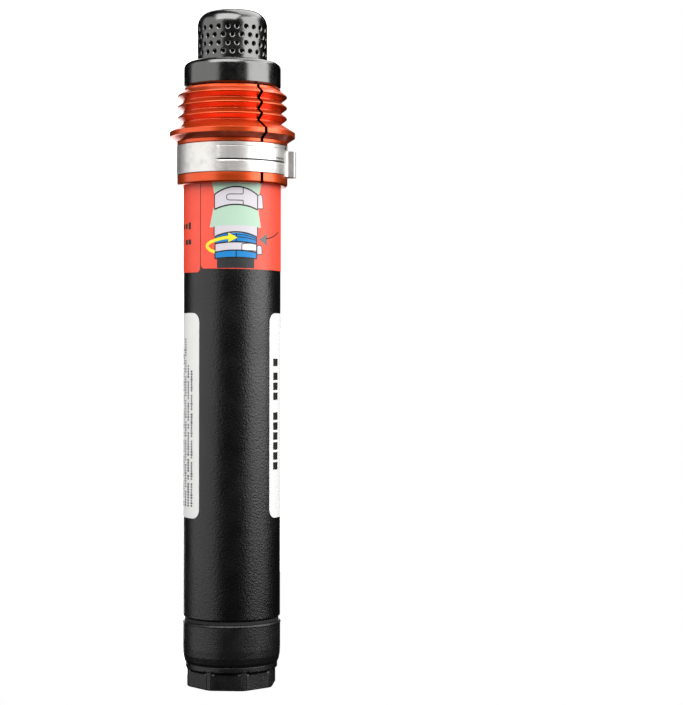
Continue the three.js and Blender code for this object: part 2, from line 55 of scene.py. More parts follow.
def rounded(corners, steps=6, hold=0.05):
    """An outline with its corners eased. Each corner is (x, y, ease): where ease is not 0 it becomes
    an arc of that radius tangent to both its sides, centre + (sin((1-k)w) s + sin(kw) e) / sin w for
    k from 0 to 1, with one more point, hold further along each side, to keep the sides flat."""
    corners = np.array(corners, float)
    pieces = []
    for i, (x, y, ease) in enumerate(corners):
        corner = np.array([x, y])
        if ease == 0:
            pieces.append(corner[None])
            continue
        before = corners[i - 1, :2] - corner
        after = corners[(i + 1) % len(corners), :2] - corner
        before /= np.linalg.norm(before)
        after /= np.linalg.norm(after)
        half = np.arccos(np.clip(before @ after, -1, 1)) / 2
        reach = ease / np.tan(half)
        middle = before + after
        centre = corner + middle / np.linalg.norm(middle) * ease / np.sin(half)
        start = corner + before * reach - centre
        end = corner + after * reach - centre
        turn = np.pi - 2 * half
        k = np.linspace(0, 1, steps + 1)[:, None]
        arc = centre + (np.sin((1 - k) * turn) * start + np.sin(k * turn) * end) / np.sin(turn)
        pieces += [(corner + before * (reach + hold))[None], arc,
                   (corner + after * (reach + hold))[None]]
    return np.vstack(pieces)


def around(radius, angle, height):
    """Points on a circle about Z: (r sin a, -r cos a, z), with the angle a in radians counted from
    the front, -Y, towards +X."""
    radius, angle, height = np.broadcast_arrays(radius, angle, height)
    return np.stack([radius * np.sin(angle), -radius * np.cos(angle), height], -1)


FULL_TURN = np.linspace(0, 2 * np.pi, 257)


def turned(outline, angles=FULL_TURN):
    """The surface of an outline of (radius, height) points turned about Z. An outline that runs
    anticlockwise, up the outside and down the inside, gives faces that point outwards."""
    return around(outline[:, 0, None], angles[None, :], outline[:, 1, None])


def closed(outline):
    """An outline that ends where it starts."""
    return np.vstack([outline, outline[:1]])


def new_piece(name, grids, material, crease=35):
    """One closed mesh from grids of points in mm. In a grid of shape (..., rows, columns, 3) the four
    points round each cell make a face. Points within a thousandth of a millimetre become one, which
    closes seams and poles, and cells that shrink to a line are dropped."""
    points = np.vstack([np.reshape(grid, (-1, 3)) for grid in grids])
    cells = []
    first = 0
    for grid in grids:
        count = int(np.prod(grid.shape[:-1]))
        number = np.arange(first, first + count).reshape(grid.shape[:-1])
        first += count
        cells.append(np.stack([number[..., :-1, :-1], number[..., :-1, 1:],
                               number[..., 1:, 1:], number[..., 1:, :-1]], -1).reshape(-1, 4))
    cells = np.vstack(cells)
    _, chosen, same = np.unique(np.floor(points * 1000 + 0.317), axis=0, return_index=True,
                                return_inverse=True)
    cells = same.reshape(-1)[cells]
    kept = cells != np.roll(cells, -1, axis=1)
    whole = kept.sum(1) >= 3
    whole &= (cells[:, 0] != cells[:, 2]) & (cells[:, 1] != cells[:, 3])
    cells, kept = cells[whole], kept[whole]
    sizes = kept.sum(1)
    mesh = bpy.data.meshes.new(name)
    mesh.vertices.add(len(chosen))
    mesh.vertices.foreach_set("co", (points[chosen] / 1000).astype(np.float32).ravel())
    mesh.loops.add(int(sizes.sum()))
    mesh.loops.foreach_set("vertex_index", cells[kept].astype(np.int32))
    mesh.polygons.add(len(sizes))
    mesh.polygons.foreach_set("loop_start", (np.cumsum(sizes) - sizes).astype(np.int32))
    mesh.update(calc_edges=True)
    mesh.validate()
    mesh.shade_smooth()
    mesh.set_sharp_from_angle(angle=math.radians(crease))
    piece = bpy.data.objects.new(name, mesh)
    bpy.context.scene.collection.objects.link(piece)
    mesh.materials.append(material)
    return piece


def colour(code):
    """An sRGB hex colour as linear red, green, blue and alpha."""
    srgb = np.array([int(code[i:i + 2], 16) for i in (0, 2, 4)]) / 255
    linear = np.where(srgb <= 0.04045, srgb / 12.92, ((srgb + 0.055) / 1.055) ** 2.4)
    return [*linear.tolist(), 1.0]


def add_node(owner, kind, inputs=None, **settings):
    """Adds a node with its settings. An input is a value, another node's output to link from, or
    another node, which is then linked from its first output."""
    added = owner.node_tree.nodes.new("ShaderNode" + kind)
    for key, value in settings.items():
        setattr(added, key, value)
    for key, value in (inputs or {}).items():
        if isinstance(value, bpy.types.Node):
            value = value.outputs[0]
        if isinstance(value, bpy.types.NodeSocket):
            owner.node_tree.links.new(value, added.inputs[key])
        else:
            added.inputs[key].default_value = value
    return added


def new_material(name):
    """An empty material, and the place on the piece, in metres, that its patterns start from."""
    material = bpy.data.materials.new(name)
    material.use_nodes = True
    material.node_tree.nodes.clear()
    return material, add_node(material, "TexCoord").outputs["Object"]


# Baked epoxy paint: a dark satin dielectric. The grain of the spray is 0.3 mm in life and is drawn
# at 0.6 mm so that it shows; wider patches make the gloss slightly uneven.
epoxy_paint, place = new_material("black_epoxy_paint")
grain = add_node(epoxy_paint, "TexNoise", {
    "Vector": place, "Scale": 1000 / 0.6, "Detail": 2.0, "Roughness": 0.6})
patches = add_node(epoxy_paint, "TexNoise", {"Vector": place, "Scale": 1000 / 9, "Detail": 4.0})
gloss = add_node(epoxy_paint, "MapRange", {0: patches, 1: 0.3, 2: 0.7, 3: 0.28, 4: 0.37})
tone = add_node(epoxy_paint, "Mix", {
    0: patches, 6: colour("020202"), 7: colour("050506")}, data_type="RGBA")
peel = add_node(epoxy_paint, "Bump", {"Height": grain, "Strength": 0.8, "Distance": 0.00012})
shader = add_node(epoxy_paint, "BsdfPrincipled", {
    "Base Color": tone.outputs[2], "Roughness": gloss, "IOR": 1.55, "Normal": peel})
add_node(epoxy_paint, "OutputMaterial", {"Surface": shader})

cylinder_outline = rounded([
    (BARREL_RADIUS - FOOT_CHAMFER, FOOT_LEVEL, 0.12),
    (BARREL_RADIUS, FOOT_LEVEL + FOOT_CHAMFER, 0.3),
    (BARREL_RADIUS, SHOULDER_LOW, 1.5),
    (NECK_RADIUS, SHOULDER_HIGH, 1.5),
    (NECK_RADIUS, NECK_TOP, 0.2),
    (NECK_BORE, NECK_TOP, 0.2),
    (NECK_BORE, SHOULDER_HIGH, 1.5),
    (BARREL_BORE, SHOULDER_LOW, 1.5),
    (BARREL_BORE, FOOT_LEVEL, 0.2),
])
cylinder = new_piece("painted_cylinder", [turned(closed(cylinder_outline))], epoxy_paint)
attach(cylinder, "cylinder")
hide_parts("cylinder_tube")

# ---- Turned steel parts -------------------
# The igniter carrier and the small steel parts are turned from bar on a lathe and left bare. The
# carrier is pressed and welded into the foot of the cylinder, and its lower end takes the cap.

CARRIER_RADIUS = 13.05
CARRIER_LOW = 10.1
CARRIER_HIGH = 34.1
THREAD_PITCH = 1.5
THREAD_DEPTH = 0.8
THREAD_TOP = 20.3
POCKET_RADIUS = 5.7
POCKET_TOP = 21.1
HEADER_SEAT = 24.55
HEADER_BORE = 5.3
CHARGE_BORE = 4.4
THREAD_EASE = 0.35
THREAD_START = 0.3

# Turned steel: feed marks are 0.08 mm apart in life and are drawn at 0.3 mm.
turned_steel, place = new_material("turned_steel")
squeeze = add_node(turned_steel, "Mapping", {"Vector": place, "Scale": (60.0, 60.0, 1000 / 0.3)})
feed = add_node(turned_steel, "TexNoise", {"Vector": squeeze, "Scale": 1.0, "Detail": 2.0})
gloss = add_node(turned_steel, "MapRange", {0: feed, 1: 0.3, 2: 0.7, 3: 0.24, 4: 0.42})
marks = add_node(turned_steel, "Bump", {"Height": feed, "Strength": 0.5, "Distance": 0.00002})
shader = add_node(turned_steel, "BsdfPrincipled", {
    "Base Color": colour("a9abae"), "Metallic": 1.0, "Roughness": gloss, "Normal": marks})
add_node(turned_steel, "OutputMaterial", {"Surface": shader})

# The thread is a ridge that climbs one pitch per turn: at height z and angle a its depth goes as the
# distance of z / pitch - a / 2 pi from the nearest half number, fading out at both ends.
thread_angles = np.linspace(0, 2 * np.pi, 181)
thread_heights = np.linspace(CARRIER_LOW + THREAD_START, THREAD_TOP, 105)[:, None]
phase = thread_heights / THREAD_PITCH - thread_angles[None] / (2 * np.pi)
ridge = 2 * np.abs(phase - np.floor(phase) - 0.5)
fade = np.clip((thread_heights - CARRIER_LOW - THREAD_START) / 0.6, 0, 1)
fade = fade * np.clip((THREAD_TOP - thread_heights) / 0.6, 0, 1)
valley = np.clip(1.25 * (1 - ridge) - 0.12, 0, 1)
cut = THREAD_EASE + (THREAD_DEPTH - THREAD_EASE) * valley * fade - THREAD_EASE * fade * (1 - valley)
thread = around(CARRIER_RADIUS - cut, thread_angles[None], thread_heights)
carrier_foot = turned(rounded([
    (POCKET_RADIUS, CARRIER_LOW, 0),
    (CARRIER_RADIUS - 2 * THREAD_EASE, CARRIER_LOW, 0),
    (CARRIER_RADIUS - THREAD_EASE, CARRIER_LOW + THREAD_START, 0),
]), thread_angles)
carrier_body = turned(rounded([
    (CARRIER_RADIUS - THREAD_EASE, THREAD_TOP, 0),
    (CARRIER_RADIUS, THREAD_TOP + 0.4, 0.1),
    (CARRIER_RADIUS, CARRIER_HIGH, 0.3),
    (CHARGE_BORE, CARRIER_HIGH, 0),
    (CHARGE_BORE, HEADER_SEAT, 0),
    (HEADER_BORE, HEADER_SEAT, 0),
    (HEADER_BORE, POCKET_TOP, 0),
    (POCKET_RADIUS, POCKET_TOP, 0),
    (POCKET_RADIUS, CARRIER_LOW, 0),
]), thread_angles)
carrier = new_piece("threaded_carrier", [carrier_foot, thread, carrier_body], turned_steel, 40)
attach(carrier, "cylinder")
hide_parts("igniter_carrier")


def refinish(names, material):
    """Gives CAD nodes their finish."""
    for name in names:
        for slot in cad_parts[name].material_slots:
            slot.material = material


refinish(["fill_plug", "header_retainer", "igniter_header", "disc_ring", "orifice_plate"],
         turned_steel)

# ---- Igniter, its connector and the booster ----
# Deep-drawn stainless cups hold the igniter and the booster powder. Brass pins run through the
# header into a moulded yellow nylon insert, where a stainless spring strip shorts them.

# Drawn stainless: smooth, with faint streaks about 0.5 mm apart along the draw.
drawn_stainless, place = new_material("drawn_stainless")
squeeze = add_node(drawn_stainless, "Mapping", {
    "Vector": place, "Scale": (1000 / 0.5, 1000 / 0.5, 60.0)})
streaks = add_node(drawn_stainless, "TexNoise", {"Vector": squeeze, "Scale": 1.0, "Detail": 2.0})
gloss = add_node(drawn_stainless, "MapRange", {0: streaks, 1: 0.3, 2: 0.7, 3: 0.2, 4: 0.34})
shader = add_node(drawn_stainless, "BsdfPrincipled", {
    "Base Color": colour("c9c8c5"), "Metallic": 1.0, "Roughness": gloss})
add_node(drawn_stainless, "OutputMaterial", {"Surface": shader})
refinish(["squib_cup", "booster_cup", "shorting_clip", "burst_disc"], drawn_stainless)


def mottled(name, kind, pattern, shades, finish):
    """A finish of two colours: first + (second - first) * the pattern's value."""
    material, spot = new_material(name)
    spread = add_node(material, kind, {"Vector": spot, **pattern})
    tone = add_node(material, "Mix", {
        0: spread, 6: colour(shades[0]), 7: colour(shades[1])}, data_type="RGBA")
    shader = add_node(material, "BsdfPrincipled", {"Base Color": tone.outputs[2], **finish})
    add_node(material, "OutputMaterial", {"Surface": shader})
    return material


# Brass pins, tumbled bright, with a little tarnish in patches about 0.8 mm wide.
tumbled_brass = mottled("tumbled_brass", "TexNoise", {"Scale": 1000 / 0.8, "Detail": 3.0},
                        ("d9b45a", "b08a3c"), {"Metallic": 1.0, "Roughness": 0.26})
refinish(["contact_pin_left", "contact_pin_right"], tumbled_brass)

# Moulded nylon: a fine spark-eroded skin, 0.1 mm in life and drawn at 0.4 mm.
moulded_nylon, place = new_material("moulded_yellow_nylon")
skin = add_node(moulded_nylon, "TexNoise", {"Vector": place, "Scale": 1000 / 0.4, "Detail": 2.0})
bump = add_node(moulded_nylon, "Bump", {"Height": skin, "Strength": 0.3, "Distance": 0.00002})
shader = add_node(moulded_nylon, "BsdfPrincipled", {
    "Base Color": colour("d8b23a"), "Roughness": 0.5, "IOR": 1.53, "Normal": bump})
add_node(moulded_nylon, "OutputMaterial", {"Surface": shader})
refinish(["connector_insert"], moulded_nylon)

# Pressed booster powder: grains of about 0.3 mm in two greys.
pressed_powder = mottled("pressed_powder", "TexVoronoi", {"Scale": 1000 / 0.3},
                         ("9b9c92", "66675f"), {"Roughness": 0.9, "IOR": 1.5})
refinish(["booster_charge"], pressed_powder)

# Nitrile rubber: matt black with a dusty bloom in patches of about 2 mm.
nitrile_rubber = mottled("nitrile_rubber", "TexNoise", {"Scale": 1000 / 2, "Detail": 4.0},
                         ("0c0c0c", "191919"), {"Roughness": 0.75, "IOR": 1.52})
refinish(["carrier_o_ring", "head_o_ring"], nitrile_rubber)

# ---- Outlet head --------------------------
# A steel ring with a spigot, turned and blackened, pressed and welded into the neck. It carries the
# burst disc below, the orifice plate in its middle and the diffuser in its top.

HEAD_RADIUS = 15.0
HEAD_LOW = 184.6
HEAD_TOP = 192.4
HEAD_CORNER = 2.0
SPIGOT_LOW = 179.6
SPIGOT_RADIUS = 10.6
SPIGOT_BORE = 5.0
THROAT_LOW = 184.1
THROAT_RADIUS = 3.0
CHAMBER_FLOOR = 186.4
CHAMBER_RADIUS = 8.4
HEAD_BORE = 10.9
HEAD_BORE_FLOOR = 188.4

# Black zinc plating on steel: a dark, fairly bright metal skin. In a band at the head's top edge it
# is
# paler in rubbed patches: partly wear, partly a painted highlight for the glint along that edge.
# The finish is streaked by the turning underneath, 0.1 mm apart in life and drawn at 0.4 mm.
black_plating, place = new_material("black_zinc_plating")
squeeze = add_node(black_plating, "Mapping", {"Vector": place, "Scale": (150.0, 150.0, 1000 / 0.4)})
feed = add_node(black_plating, "TexNoise", {"Vector": squeeze, "Scale": 1.0, "Detail": 2.0})
blotches = add_node(black_plating, "TexNoise", {
    "Vector": place, "Scale": 1000 / 3, "Detail": 5.0, "Roughness": 0.65})
gloss = add_node(black_plating, "MapRange", {0: blotches, 1: 0.3, 2: 0.7, 3: 0.17, 4: 0.27})
height = add_node(black_plating, "SeparateXYZ", {0: place}).outputs["Z"]
# Paler rubbed patches in a band at the head's top edge: wear, and a painted highlight for the glint
# there.
edge = add_node(black_plating, "MapRange", {
    0: height, 1: (HEAD_TOP - 0.55) / 1000,
    2: (HEAD_TOP - 0.1) / 1000}, interpolation_type="SMOOTHSTEP")
below = add_node(black_plating, "MapRange", {
    0: height, 1: (HEAD_TOP + 0.1) / 1000, 2: (HEAD_TOP + 0.3) / 1000, 3: 1.0,
    4: 0.0}, interpolation_type="SMOOTHSTEP")
rubbed = add_node(black_plating, "MapRange", {0: blotches, 1: 0.45, 2: 0.6})
wear_and_highlight = add_node(black_plating, "Math", {0: edge, 1: below}, operation="MULTIPLY")
wear_and_highlight = add_node(black_plating, "Math", {0: wear_and_highlight, 1: rubbed}, operation="MULTIPLY")
tone = add_node(black_plating, "Mix", {
    0: wear_and_highlight, 6: colour("646463"), 7: colour("b4b2ae")}, data_type="RGBA")
marks = add_node(black_plating, "Bump", {"Height": feed, "Strength": 0.3, "Distance": 0.00002})
shader = add_node(black_plating, "BsdfPrincipled", {
    "Base Color": tone.outputs[2], "Metallic": 1.0, "Roughness": gloss, "Normal": marks})
add_node(black_plating, "OutputMaterial", {"Surface": shader})

head_outline = rounded([
    (SPIGOT_RADIUS, SPIGOT_LOW, 0.2),
    (SPIGOT_RADIUS, HEAD_LOW, 0),
    (HEAD_RADIUS - 0.5, HEAD_LOW, 0.12),
    (HEAD_RADIUS, HEAD_LOW + 0.5, 0.25),
    (HEAD_RADIUS, HEAD_TOP, HEAD_CORNER),
    (HEAD_BORE, HEAD_TOP, 0.2),
    (HEAD_BORE, HEAD_BORE_FLOOR, 0),
    (CHAMBER_RADIUS, HEAD_BORE_FLOOR, 0),
    (CHAMBER_RADIUS, CHAMBER_FLOOR, 0),
    (THROAT_RADIUS, CHAMBER_FLOOR, 0),
    (THROAT_RADIUS, THROAT_LOW, 0),
    (SPIGOT_BORE, THROAT_LOW, 0),
    (SPIGOT_BORE, SPIGOT_LOW, 0),
], 8)
head = new_piece("black_outlet_head", [turned(closed(head_outline))], black_plating)
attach(head, "cylinder")
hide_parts("outlet_head")

# ---- Filter screen and diffuser -----------
# The diffuser is a cup drawn from 0.8 mm steel sheet and punched with four rows of 24 holes, each
# with a countersunk rim, then blackened. A tube of woven wire stands behind the holes.

DIFFUSER_RADIUS = 10.8
DIFFUSER_BORE = 10.0
SHEET = 0.8
CROWN_RADIUS = 4.0
DIFFUSER_LOW = 188.45
DIFFUSER_TOP = 208.3
DIFFUSER_CORNER = 4.6
HOLES_ROUND = 24
HOLE_ROWS = (194.75, 197.25, 199.75, 202.25)
ROW_PITCH = 2.5
HOLE_RADIUS = 0.55
RIM_RADIUS = 0.86
RIM_DEPTH = 0.22

# Woven stainless wire, dulled black by heat treatment. Wires are 0.2 mm apart, drawn at 0.5 mm.
woven_wire, place = new_material("woven_wire")
weave = add_node(woven_wire, "TexWave", {
    "Vector": place, "Scale": 1000 / 0.5 / 20, "Distortion": 0.0}, bands_direction="Z")
bump = add_node(woven_wire, "Bump", {
    "Height": weave.outputs[1], "Strength": 0.8, "Distance": 0.0001})
shader = add_node(woven_wire, "BsdfPrincipled", {
    "Base Color": colour("26262a"), "Metallic": 1.0, "Roughness": 0.5, "Normal": bump})
add_node(woven_wire, "OutputMaterial", {"Surface": shader})
refinish(["filter_screen"], woven_wire)

# Each hole has its own tile of the wall, 15 degrees wide and one row pitch high. In a tile, rings of
# 24 points go from the tile's border to the rim, down the countersink, through the wall and out to
# the tile's border on the inside. Point k of a ring is border_k moved towards the hole.
side = np.linspace(-1, 1, 7)[:-1]
one = np.ones(6)
border = closed(np.vstack([np.column_stack(pair) for pair in
                           ((side, -one), (one, side), (-side, one), (-one, -side))]))
tile_half = np.array([np.pi / HOLES_ROUND * DIFFUSER_RADIUS, ROW_PITCH / 2])
border_mm = border * tile_half
spoke = border_mm / np.linalg.norm(border_mm, axis=1)[:, None]
ring_radii = [RIM_RADIUS + 0.22, RIM_RADIUS + 0.05, RIM_RADIUS - 0.03, HOLE_RADIUS + 0.03,
              HOLE_RADIUS, HOLE_RADIUS, HOLE_RADIUS + 0.06]
ring_depths = [0, 0, 0.02, RIM_DEPTH - 0.02, RIM_DEPTH + 0.04, SHEET - 0.04, SHEET]
tile = np.stack([border_mm] + [spoke * r for r in ring_radii] + [border_mm])
tile_depth = np.array([0, *ring_depths, DIFFUSER_RADIUS - DIFFUSER_BORE])[:, None]
row_index, hole_index = np.meshgrid(np.arange(len(HOLE_ROWS)), np.arange(HOLES_ROUND), indexing="ij")
hole_angle = 2 * np.pi * (hole_index + (row_index % 2) / 2) / HOLES_ROUND
hole_height = np.array(HOLE_ROWS)[row_index]
tile_angle = hole_angle[..., None, None] + tile[..., 0] / DIFFUSER_RADIUS
tile_height = hole_height[..., None, None] + tile[..., 1]
tiles = around(DIFFUSER_RADIUS - tile_depth, tile_angle, tile_height)

wall_angles = np.linspace(0, 2 * np.pi, 6 * HOLES_ROUND + 1) - np.pi / HOLES_ROUND
tiles_low = HOLE_ROWS[0] - ROW_PITCH / 2
tiles_high = HOLE_ROWS[-1] + ROW_PITCH / 2
foot = np.array([(DIFFUSER_BORE, tiles_low), (DIFFUSER_BORE, DIFFUSER_LOW + 0.1),
                 (DIFFUSER_BORE + 0.1, DIFFUSER_LOW), (DIFFUSER_RADIUS - 0.1, DIFFUSER_LOW),
                 (DIFFUSER_RADIUS, DIFFUSER_LOW + 0.1), (DIFFUSER_RADIUS, tiles_low)])
corner = np.radians(np.linspace(0, 90, 15))
bend_centre = DIFFUSER_RADIUS - DIFFUSER_CORNER
bend_level = DIFFUSER_TOP - DIFFUSER_CORNER
inner_corner = DIFFUSER_CORNER - SHEET
bend = np.column_stack([np.cos(corner), np.sin(corner)])
dome = np.vstack([[(DIFFUSER_RADIUS, tiles_high)],
                  (bend_centre, bend_level) + DIFFUSER_CORNER * bend,
                  [(CROWN_RADIUS, DIFFUSER_TOP), (0, DIFFUSER_TOP)]])
under_dome = np.vstack([[(0, DIFFUSER_TOP - SHEET), (CROWN_RADIUS, DIFFUSER_TOP - SHEET)],
                        ((bend_centre, bend_level) + inner_corner * bend)[::-1],
                        [(DIFFUSER_BORE, tiles_high)]])
diffuser = new_piece("perforated_diffuser",
                     [tiles, turned(foot, wall_angles), turned(dome, wall_angles),
                      turned(under_dome, wall_angles)], black_plating, 28)
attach(diffuser, "cylinder")
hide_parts("diffuser_cap")

# ---- Split locking sleeve -----------------
# Turned from aluminium bar, slit along one side so that it can be sprung over the neck, and anodised
# orange. It has a groove for the clamp, a flange and three ridges that seal in the bladder's mouth.

SLEEVE_LOW = 154.1
SLEEVE_TOP = 184.15
SLEEVE_RADIUS = 17.1
SLEEVE_BORE = 15.15
SLEEVE_NECK_BORE = 12.8
CONE_LOW = 162.15
CONE_HIGH = 168.15
GROOVE_LOW = 157.2
GROOVE_HIGH = 166.6
GROOVE_RADIUS = 16.6
FLANGE_RADIUS = 19.45
RIDGE_FOOT = 173.5
RIDGE_PITCH = 3.35
RIDGE_CREST = 17.18
RIDGE_ROOT = 14.95
FLANGE_EASE = 19.0
SLOT_ANGLE = math.radians(31.7)
SLOT_HALF = 0.5

# Orange anodising: dyed oxide over bright aluminium, so a tinted metal with a clear glassy skin.
# The tool's feed lines are 0.12 mm apart in life and are drawn at 0.35 mm. The slot's sides, and a
# strip a few hundredths of a mm wide along its edges, are coloured near black as painted shade for
# the shadow inside the slot.
orange_anodising, place = new_material("orange_anodised_aluminium")
squeeze = add_node(orange_anodising, "Mapping", {
    "Vector": place, "Scale": (40.0, 40.0, 1000 / 0.35)})
feed = add_node(orange_anodising, "TexNoise", {
    "Vector": squeeze, "Scale": 1.0, "Detail": 3.0, "Roughness": 0.6})
patches = add_node(orange_anodising, "TexNoise", {
    "Vector": place, "Scale": 1000 / 6, "Detail": 3.0})
gloss = add_node(orange_anodising, "MapRange", {0: feed, 1: 0.3, 2: 0.7, 3: 0.34, 4: 0.46})
tone = add_node(orange_anodising, "Mix", {
    0: patches, 6: colour("e5551f"), 7: colour("d94b19")}, data_type="RGBA")
across_slot = add_node(orange_anodising, "VectorMath", {
    0: place, 1: (math.cos(SLOT_ANGLE), math.sin(SLOT_ANGLE), 0.0)}, operation="DOT_PRODUCT")
across_slot = add_node(orange_anodising, "Math", {
    0: across_slot.outputs["Value"]}, operation="ABSOLUTE")
in_slot = add_node(orange_anodising, "MapRange", {
    0: across_slot, 1: SLOT_HALF / 1000 + 0.00002, 2: SLOT_HALF / 1000 + 0.00008, 3: 1.0, 4: 0.0})
towards_slot = add_node(orange_anodising, "VectorMath", {
    0: place, 1: (math.sin(SLOT_ANGLE), -math.cos(SLOT_ANGLE), 0.0)}, operation="DOT_PRODUCT")
slot_side = add_node(orange_anodising, "Math", {
    0: towards_slot.outputs["Value"], 1: 0.0}, operation="GREATER_THAN")
# Painted shade: the slot's sides and its edges turn near black, standing in for the shadow in the
# slot.
painted_slot_shade = add_node(orange_anodising, "Math", {0: in_slot, 1: slot_side}, operation="MULTIPLY")
tone = add_node(orange_anodising, "Mix", {
    0: painted_slot_shade, 6: tone.outputs[2], 7: colour("0d0504")}, data_type="RGBA")
marks = add_node(orange_anodising, "Bump", {"Height": feed, "Strength": 0.45, "Distance": 0.00003})
shader = add_node(orange_anodising, "BsdfPrincipled", {
    "Base Color": tone.outputs[2], "Metallic": 0.86, "Roughness": gloss, "Coat Weight": 0.6,
    "Coat Roughness": 0.2, "Normal": marks})
add_node(orange_anodising, "OutputMaterial", {"Surface": shader})

ridge_corners = []
for step in range(3):
    middle = RIDGE_FOOT + (step + 0.5) * RIDGE_PITCH
    ridge_corners += [(RIDGE_CREST, middle, 0.35), (RIDGE_ROOT, middle + RIDGE_PITCH / 2, 0.3)]
sleeve_outside = rounded([
    (16.3, SLEEVE_LOW, 0),
    (SLEEVE_RADIUS, SLEEVE_LOW + 0.01, 0.75),
    (SLEEVE_RADIUS, GROOVE_LOW, 0.12),
    (GROOVE_RADIUS, GROOVE_LOW + 0.02, 0.05),
    (GROOVE_RADIUS, GROOVE_HIGH - 0.02, 0.05),
    (SLEEVE_RADIUS, GROOVE_HIGH, 0.12),
    (SLEEVE_RADIUS, 167.7, 0.3),
    (FLANGE_EASE, 168.975, 0.3),
    (FLANGE_RADIUS, 169.2, 0.15),
    (FLANGE_RADIUS, 170.7, 0.15),
    (FLANGE_EASE, 170.925, 0.3),
    (RIDGE_ROOT, RIDGE_FOOT, 0.3),
    *ridge_corners[:-1],
    (RIDGE_ROOT, 183.55, 0.2),
    (14.9, SLEEVE_TOP, 0),
], 6)
sleeve_inside = np.array([(SLEEVE_BORE, SLEEVE_LOW), (SLEEVE_BORE, CONE_LOW),
                          (SLEEVE_NECK_BORE, CONE_HIGH), (SLEEVE_NECK_BORE, SLEEVE_TOP)])
levels = np.unique(np.round(np.concatenate([sleeve_outside[:, 1], sleeve_inside[:, 1]]), 4))
levels = levels[(levels >= SLEEVE_LOW) & (levels <= SLEEVE_TOP)]
order = np.argsort(sleeve_outside[:, 1], kind="stable")
outer_radius = np.interp(levels, sleeve_outside[order, 1], sleeve_outside[order, 0])
inner_radius = np.interp(levels, sleeve_inside[:, 1], sleeve_inside[:, 0])


def slit_wall(radius, heights, columns=257):
    """A wall of radius r(z) that goes round from one side of the slot to the other. The slot's sides
    are parallel, so the wall starts at the slot's angle + asin(half width / r)."""
    gap = np.arcsin(SLOT_HALF / radius)[:, None]
    along = np.linspace(0, 1, columns)[None]
    angle = SLOT_ANGLE + gap + along * (2 * np.pi - 2 * gap)
    return around(radius[:, None], angle, heights[:, None])


outer_wall = slit_wall(outer_radius, levels)
inner_wall = slit_wall(inner_radius, levels)
sleeve = new_piece("split_locking_sleeve", [
    outer_wall,
    inner_wall[::-1],
    np.stack([inner_wall[0], outer_wall[0]]),
    np.stack([outer_wall[-1], inner_wall[-1]]),
    np.stack([inner_wall[:, 0], outer_wall[:, 0]], 1),
    np.stack([outer_wall[:, -1], inner_wall[:, -1]], 1),
], orange_anodising, 30)
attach(sleeve, "sleeve")
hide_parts("split_sleeve")

# ---- Ear clamp ----------------------------
# A 9 mm stainless band whose ends hook together under a tongue, drawn tight by pinching its ear.
# It lies in the sleeve's groove and squeezes the split sleeve onto the neck.

BAND_LOW = 157.4
BAND_HIGH = 166.4
BAND_INNER = 16.7
BAND_OUTER = 17.17
TONGUE_RISE = 0.11
TONGUE_LOW = 161.3
TONGUE_HIGH = 165.05
TONGUE_START = math.radians(-14.3)
TONGUE_END = math.radians(80)
SLIT_LEVEL = 162.1
SLIT_START = math.radians(51.5)
SLIT_END = math.radians(70)
HOOK_START = math.radians(70)
HOOK_END = math.radians(80.5)
HOOK_ROWS = ((157.95, 158.65), (165.15, 165.85))
EAR_ANGLE = math.radians(86)
EAR_LOW = 156.95
EAR_HIGH = 164.9
EAR_HALF = 2.2
EAR_CROWN = 19.4
EAR_WALL = 0.3

# Rolled stainless strip: bright, with rolling lines along the band, 0.05 mm apart in life and drawn
# at 0.25 mm, and greyer smudges about 3 mm wide. Painted shade: every surface nearer the axis than
# 16.98 mm, which means the pressed-in lines, slit, hook windows and the band's inside, is coloured
# near black.
rolled_stainless, place = new_material("rolled_stainless_strip")
squeeze = add_node(rolled_stainless, "Mapping", {
    "Vector": place, "Scale": (60.0, 60.0, 1000 / 0.25)})
rolling = add_node(rolled_stainless, "TexNoise", {"Vector": squeeze, "Scale": 1.0, "Detail": 2.0})
gloss = add_node(rolled_stainless, "MapRange", {0: rolling, 1: 0.3, 2: 0.7, 3: 0.36, 4: 0.48})
flat = add_node(rolled_stainless, "VectorMath", {
    0: place, 1: (1.0, 1.0, 0.0)}, operation="MULTIPLY")
distance = add_node(rolled_stainless, "VectorMath", {0: flat}, operation="LENGTH")
# Painted shade: near black below 16.98 mm from the axis, standing in for the shadow in the recesses.
painted_recess_shade = add_node(rolled_stainless, "MapRange", {
    0: distance.outputs["Value"], 1: 0.01698, 2: 0.0171, 3: 0.93, 4: 0.0})
smudges = add_node(rolled_stainless, "TexNoise", {
    "Vector": place, "Scale": 1000 / 3, "Detail": 5.0, "Roughness": 0.6})
smudged = add_node(rolled_stainless, "MapRange", {0: smudges, 1: 0.5, 2: 0.75, 3: 0.0, 4: 0.35})
steel_tone = add_node(rolled_stainless, "Mix", {
    0: smudged, 6: colour("e2e0dc"), 7: colour("8a8883")}, data_type="RGBA")
tone = add_node(rolled_stainless, "Mix", {
    0: painted_recess_shade, 6: steel_tone.outputs[2], 7: colour("100f0e")}, data_type="RGBA")
marks = add_node(rolled_stainless, "Bump", {
    "Height": rolling, "Strength": 0.25, "Distance": 0.00002})
shader = add_node(rolled_stainless, "BsdfPrincipled", {
    "Base Color": tone.outputs[2], "Metallic": 0.92, "Roughness": gloss, "Normal": marks})
add_node(rolled_stainless, "OutputMaterial", {"Surface": shader})


def between(value, low, high, soft):
    """1 from low to high and 0 outside, with a smooth step of width soft at each end."""
    up = np.clip((value - low) / soft + 0.5, 0, 1)
    down = np.clip((high - value) / soft + 0.5, 0, 1)
    return up * up * (3 - 2 * up) * down * down * (3 - 2 * down)


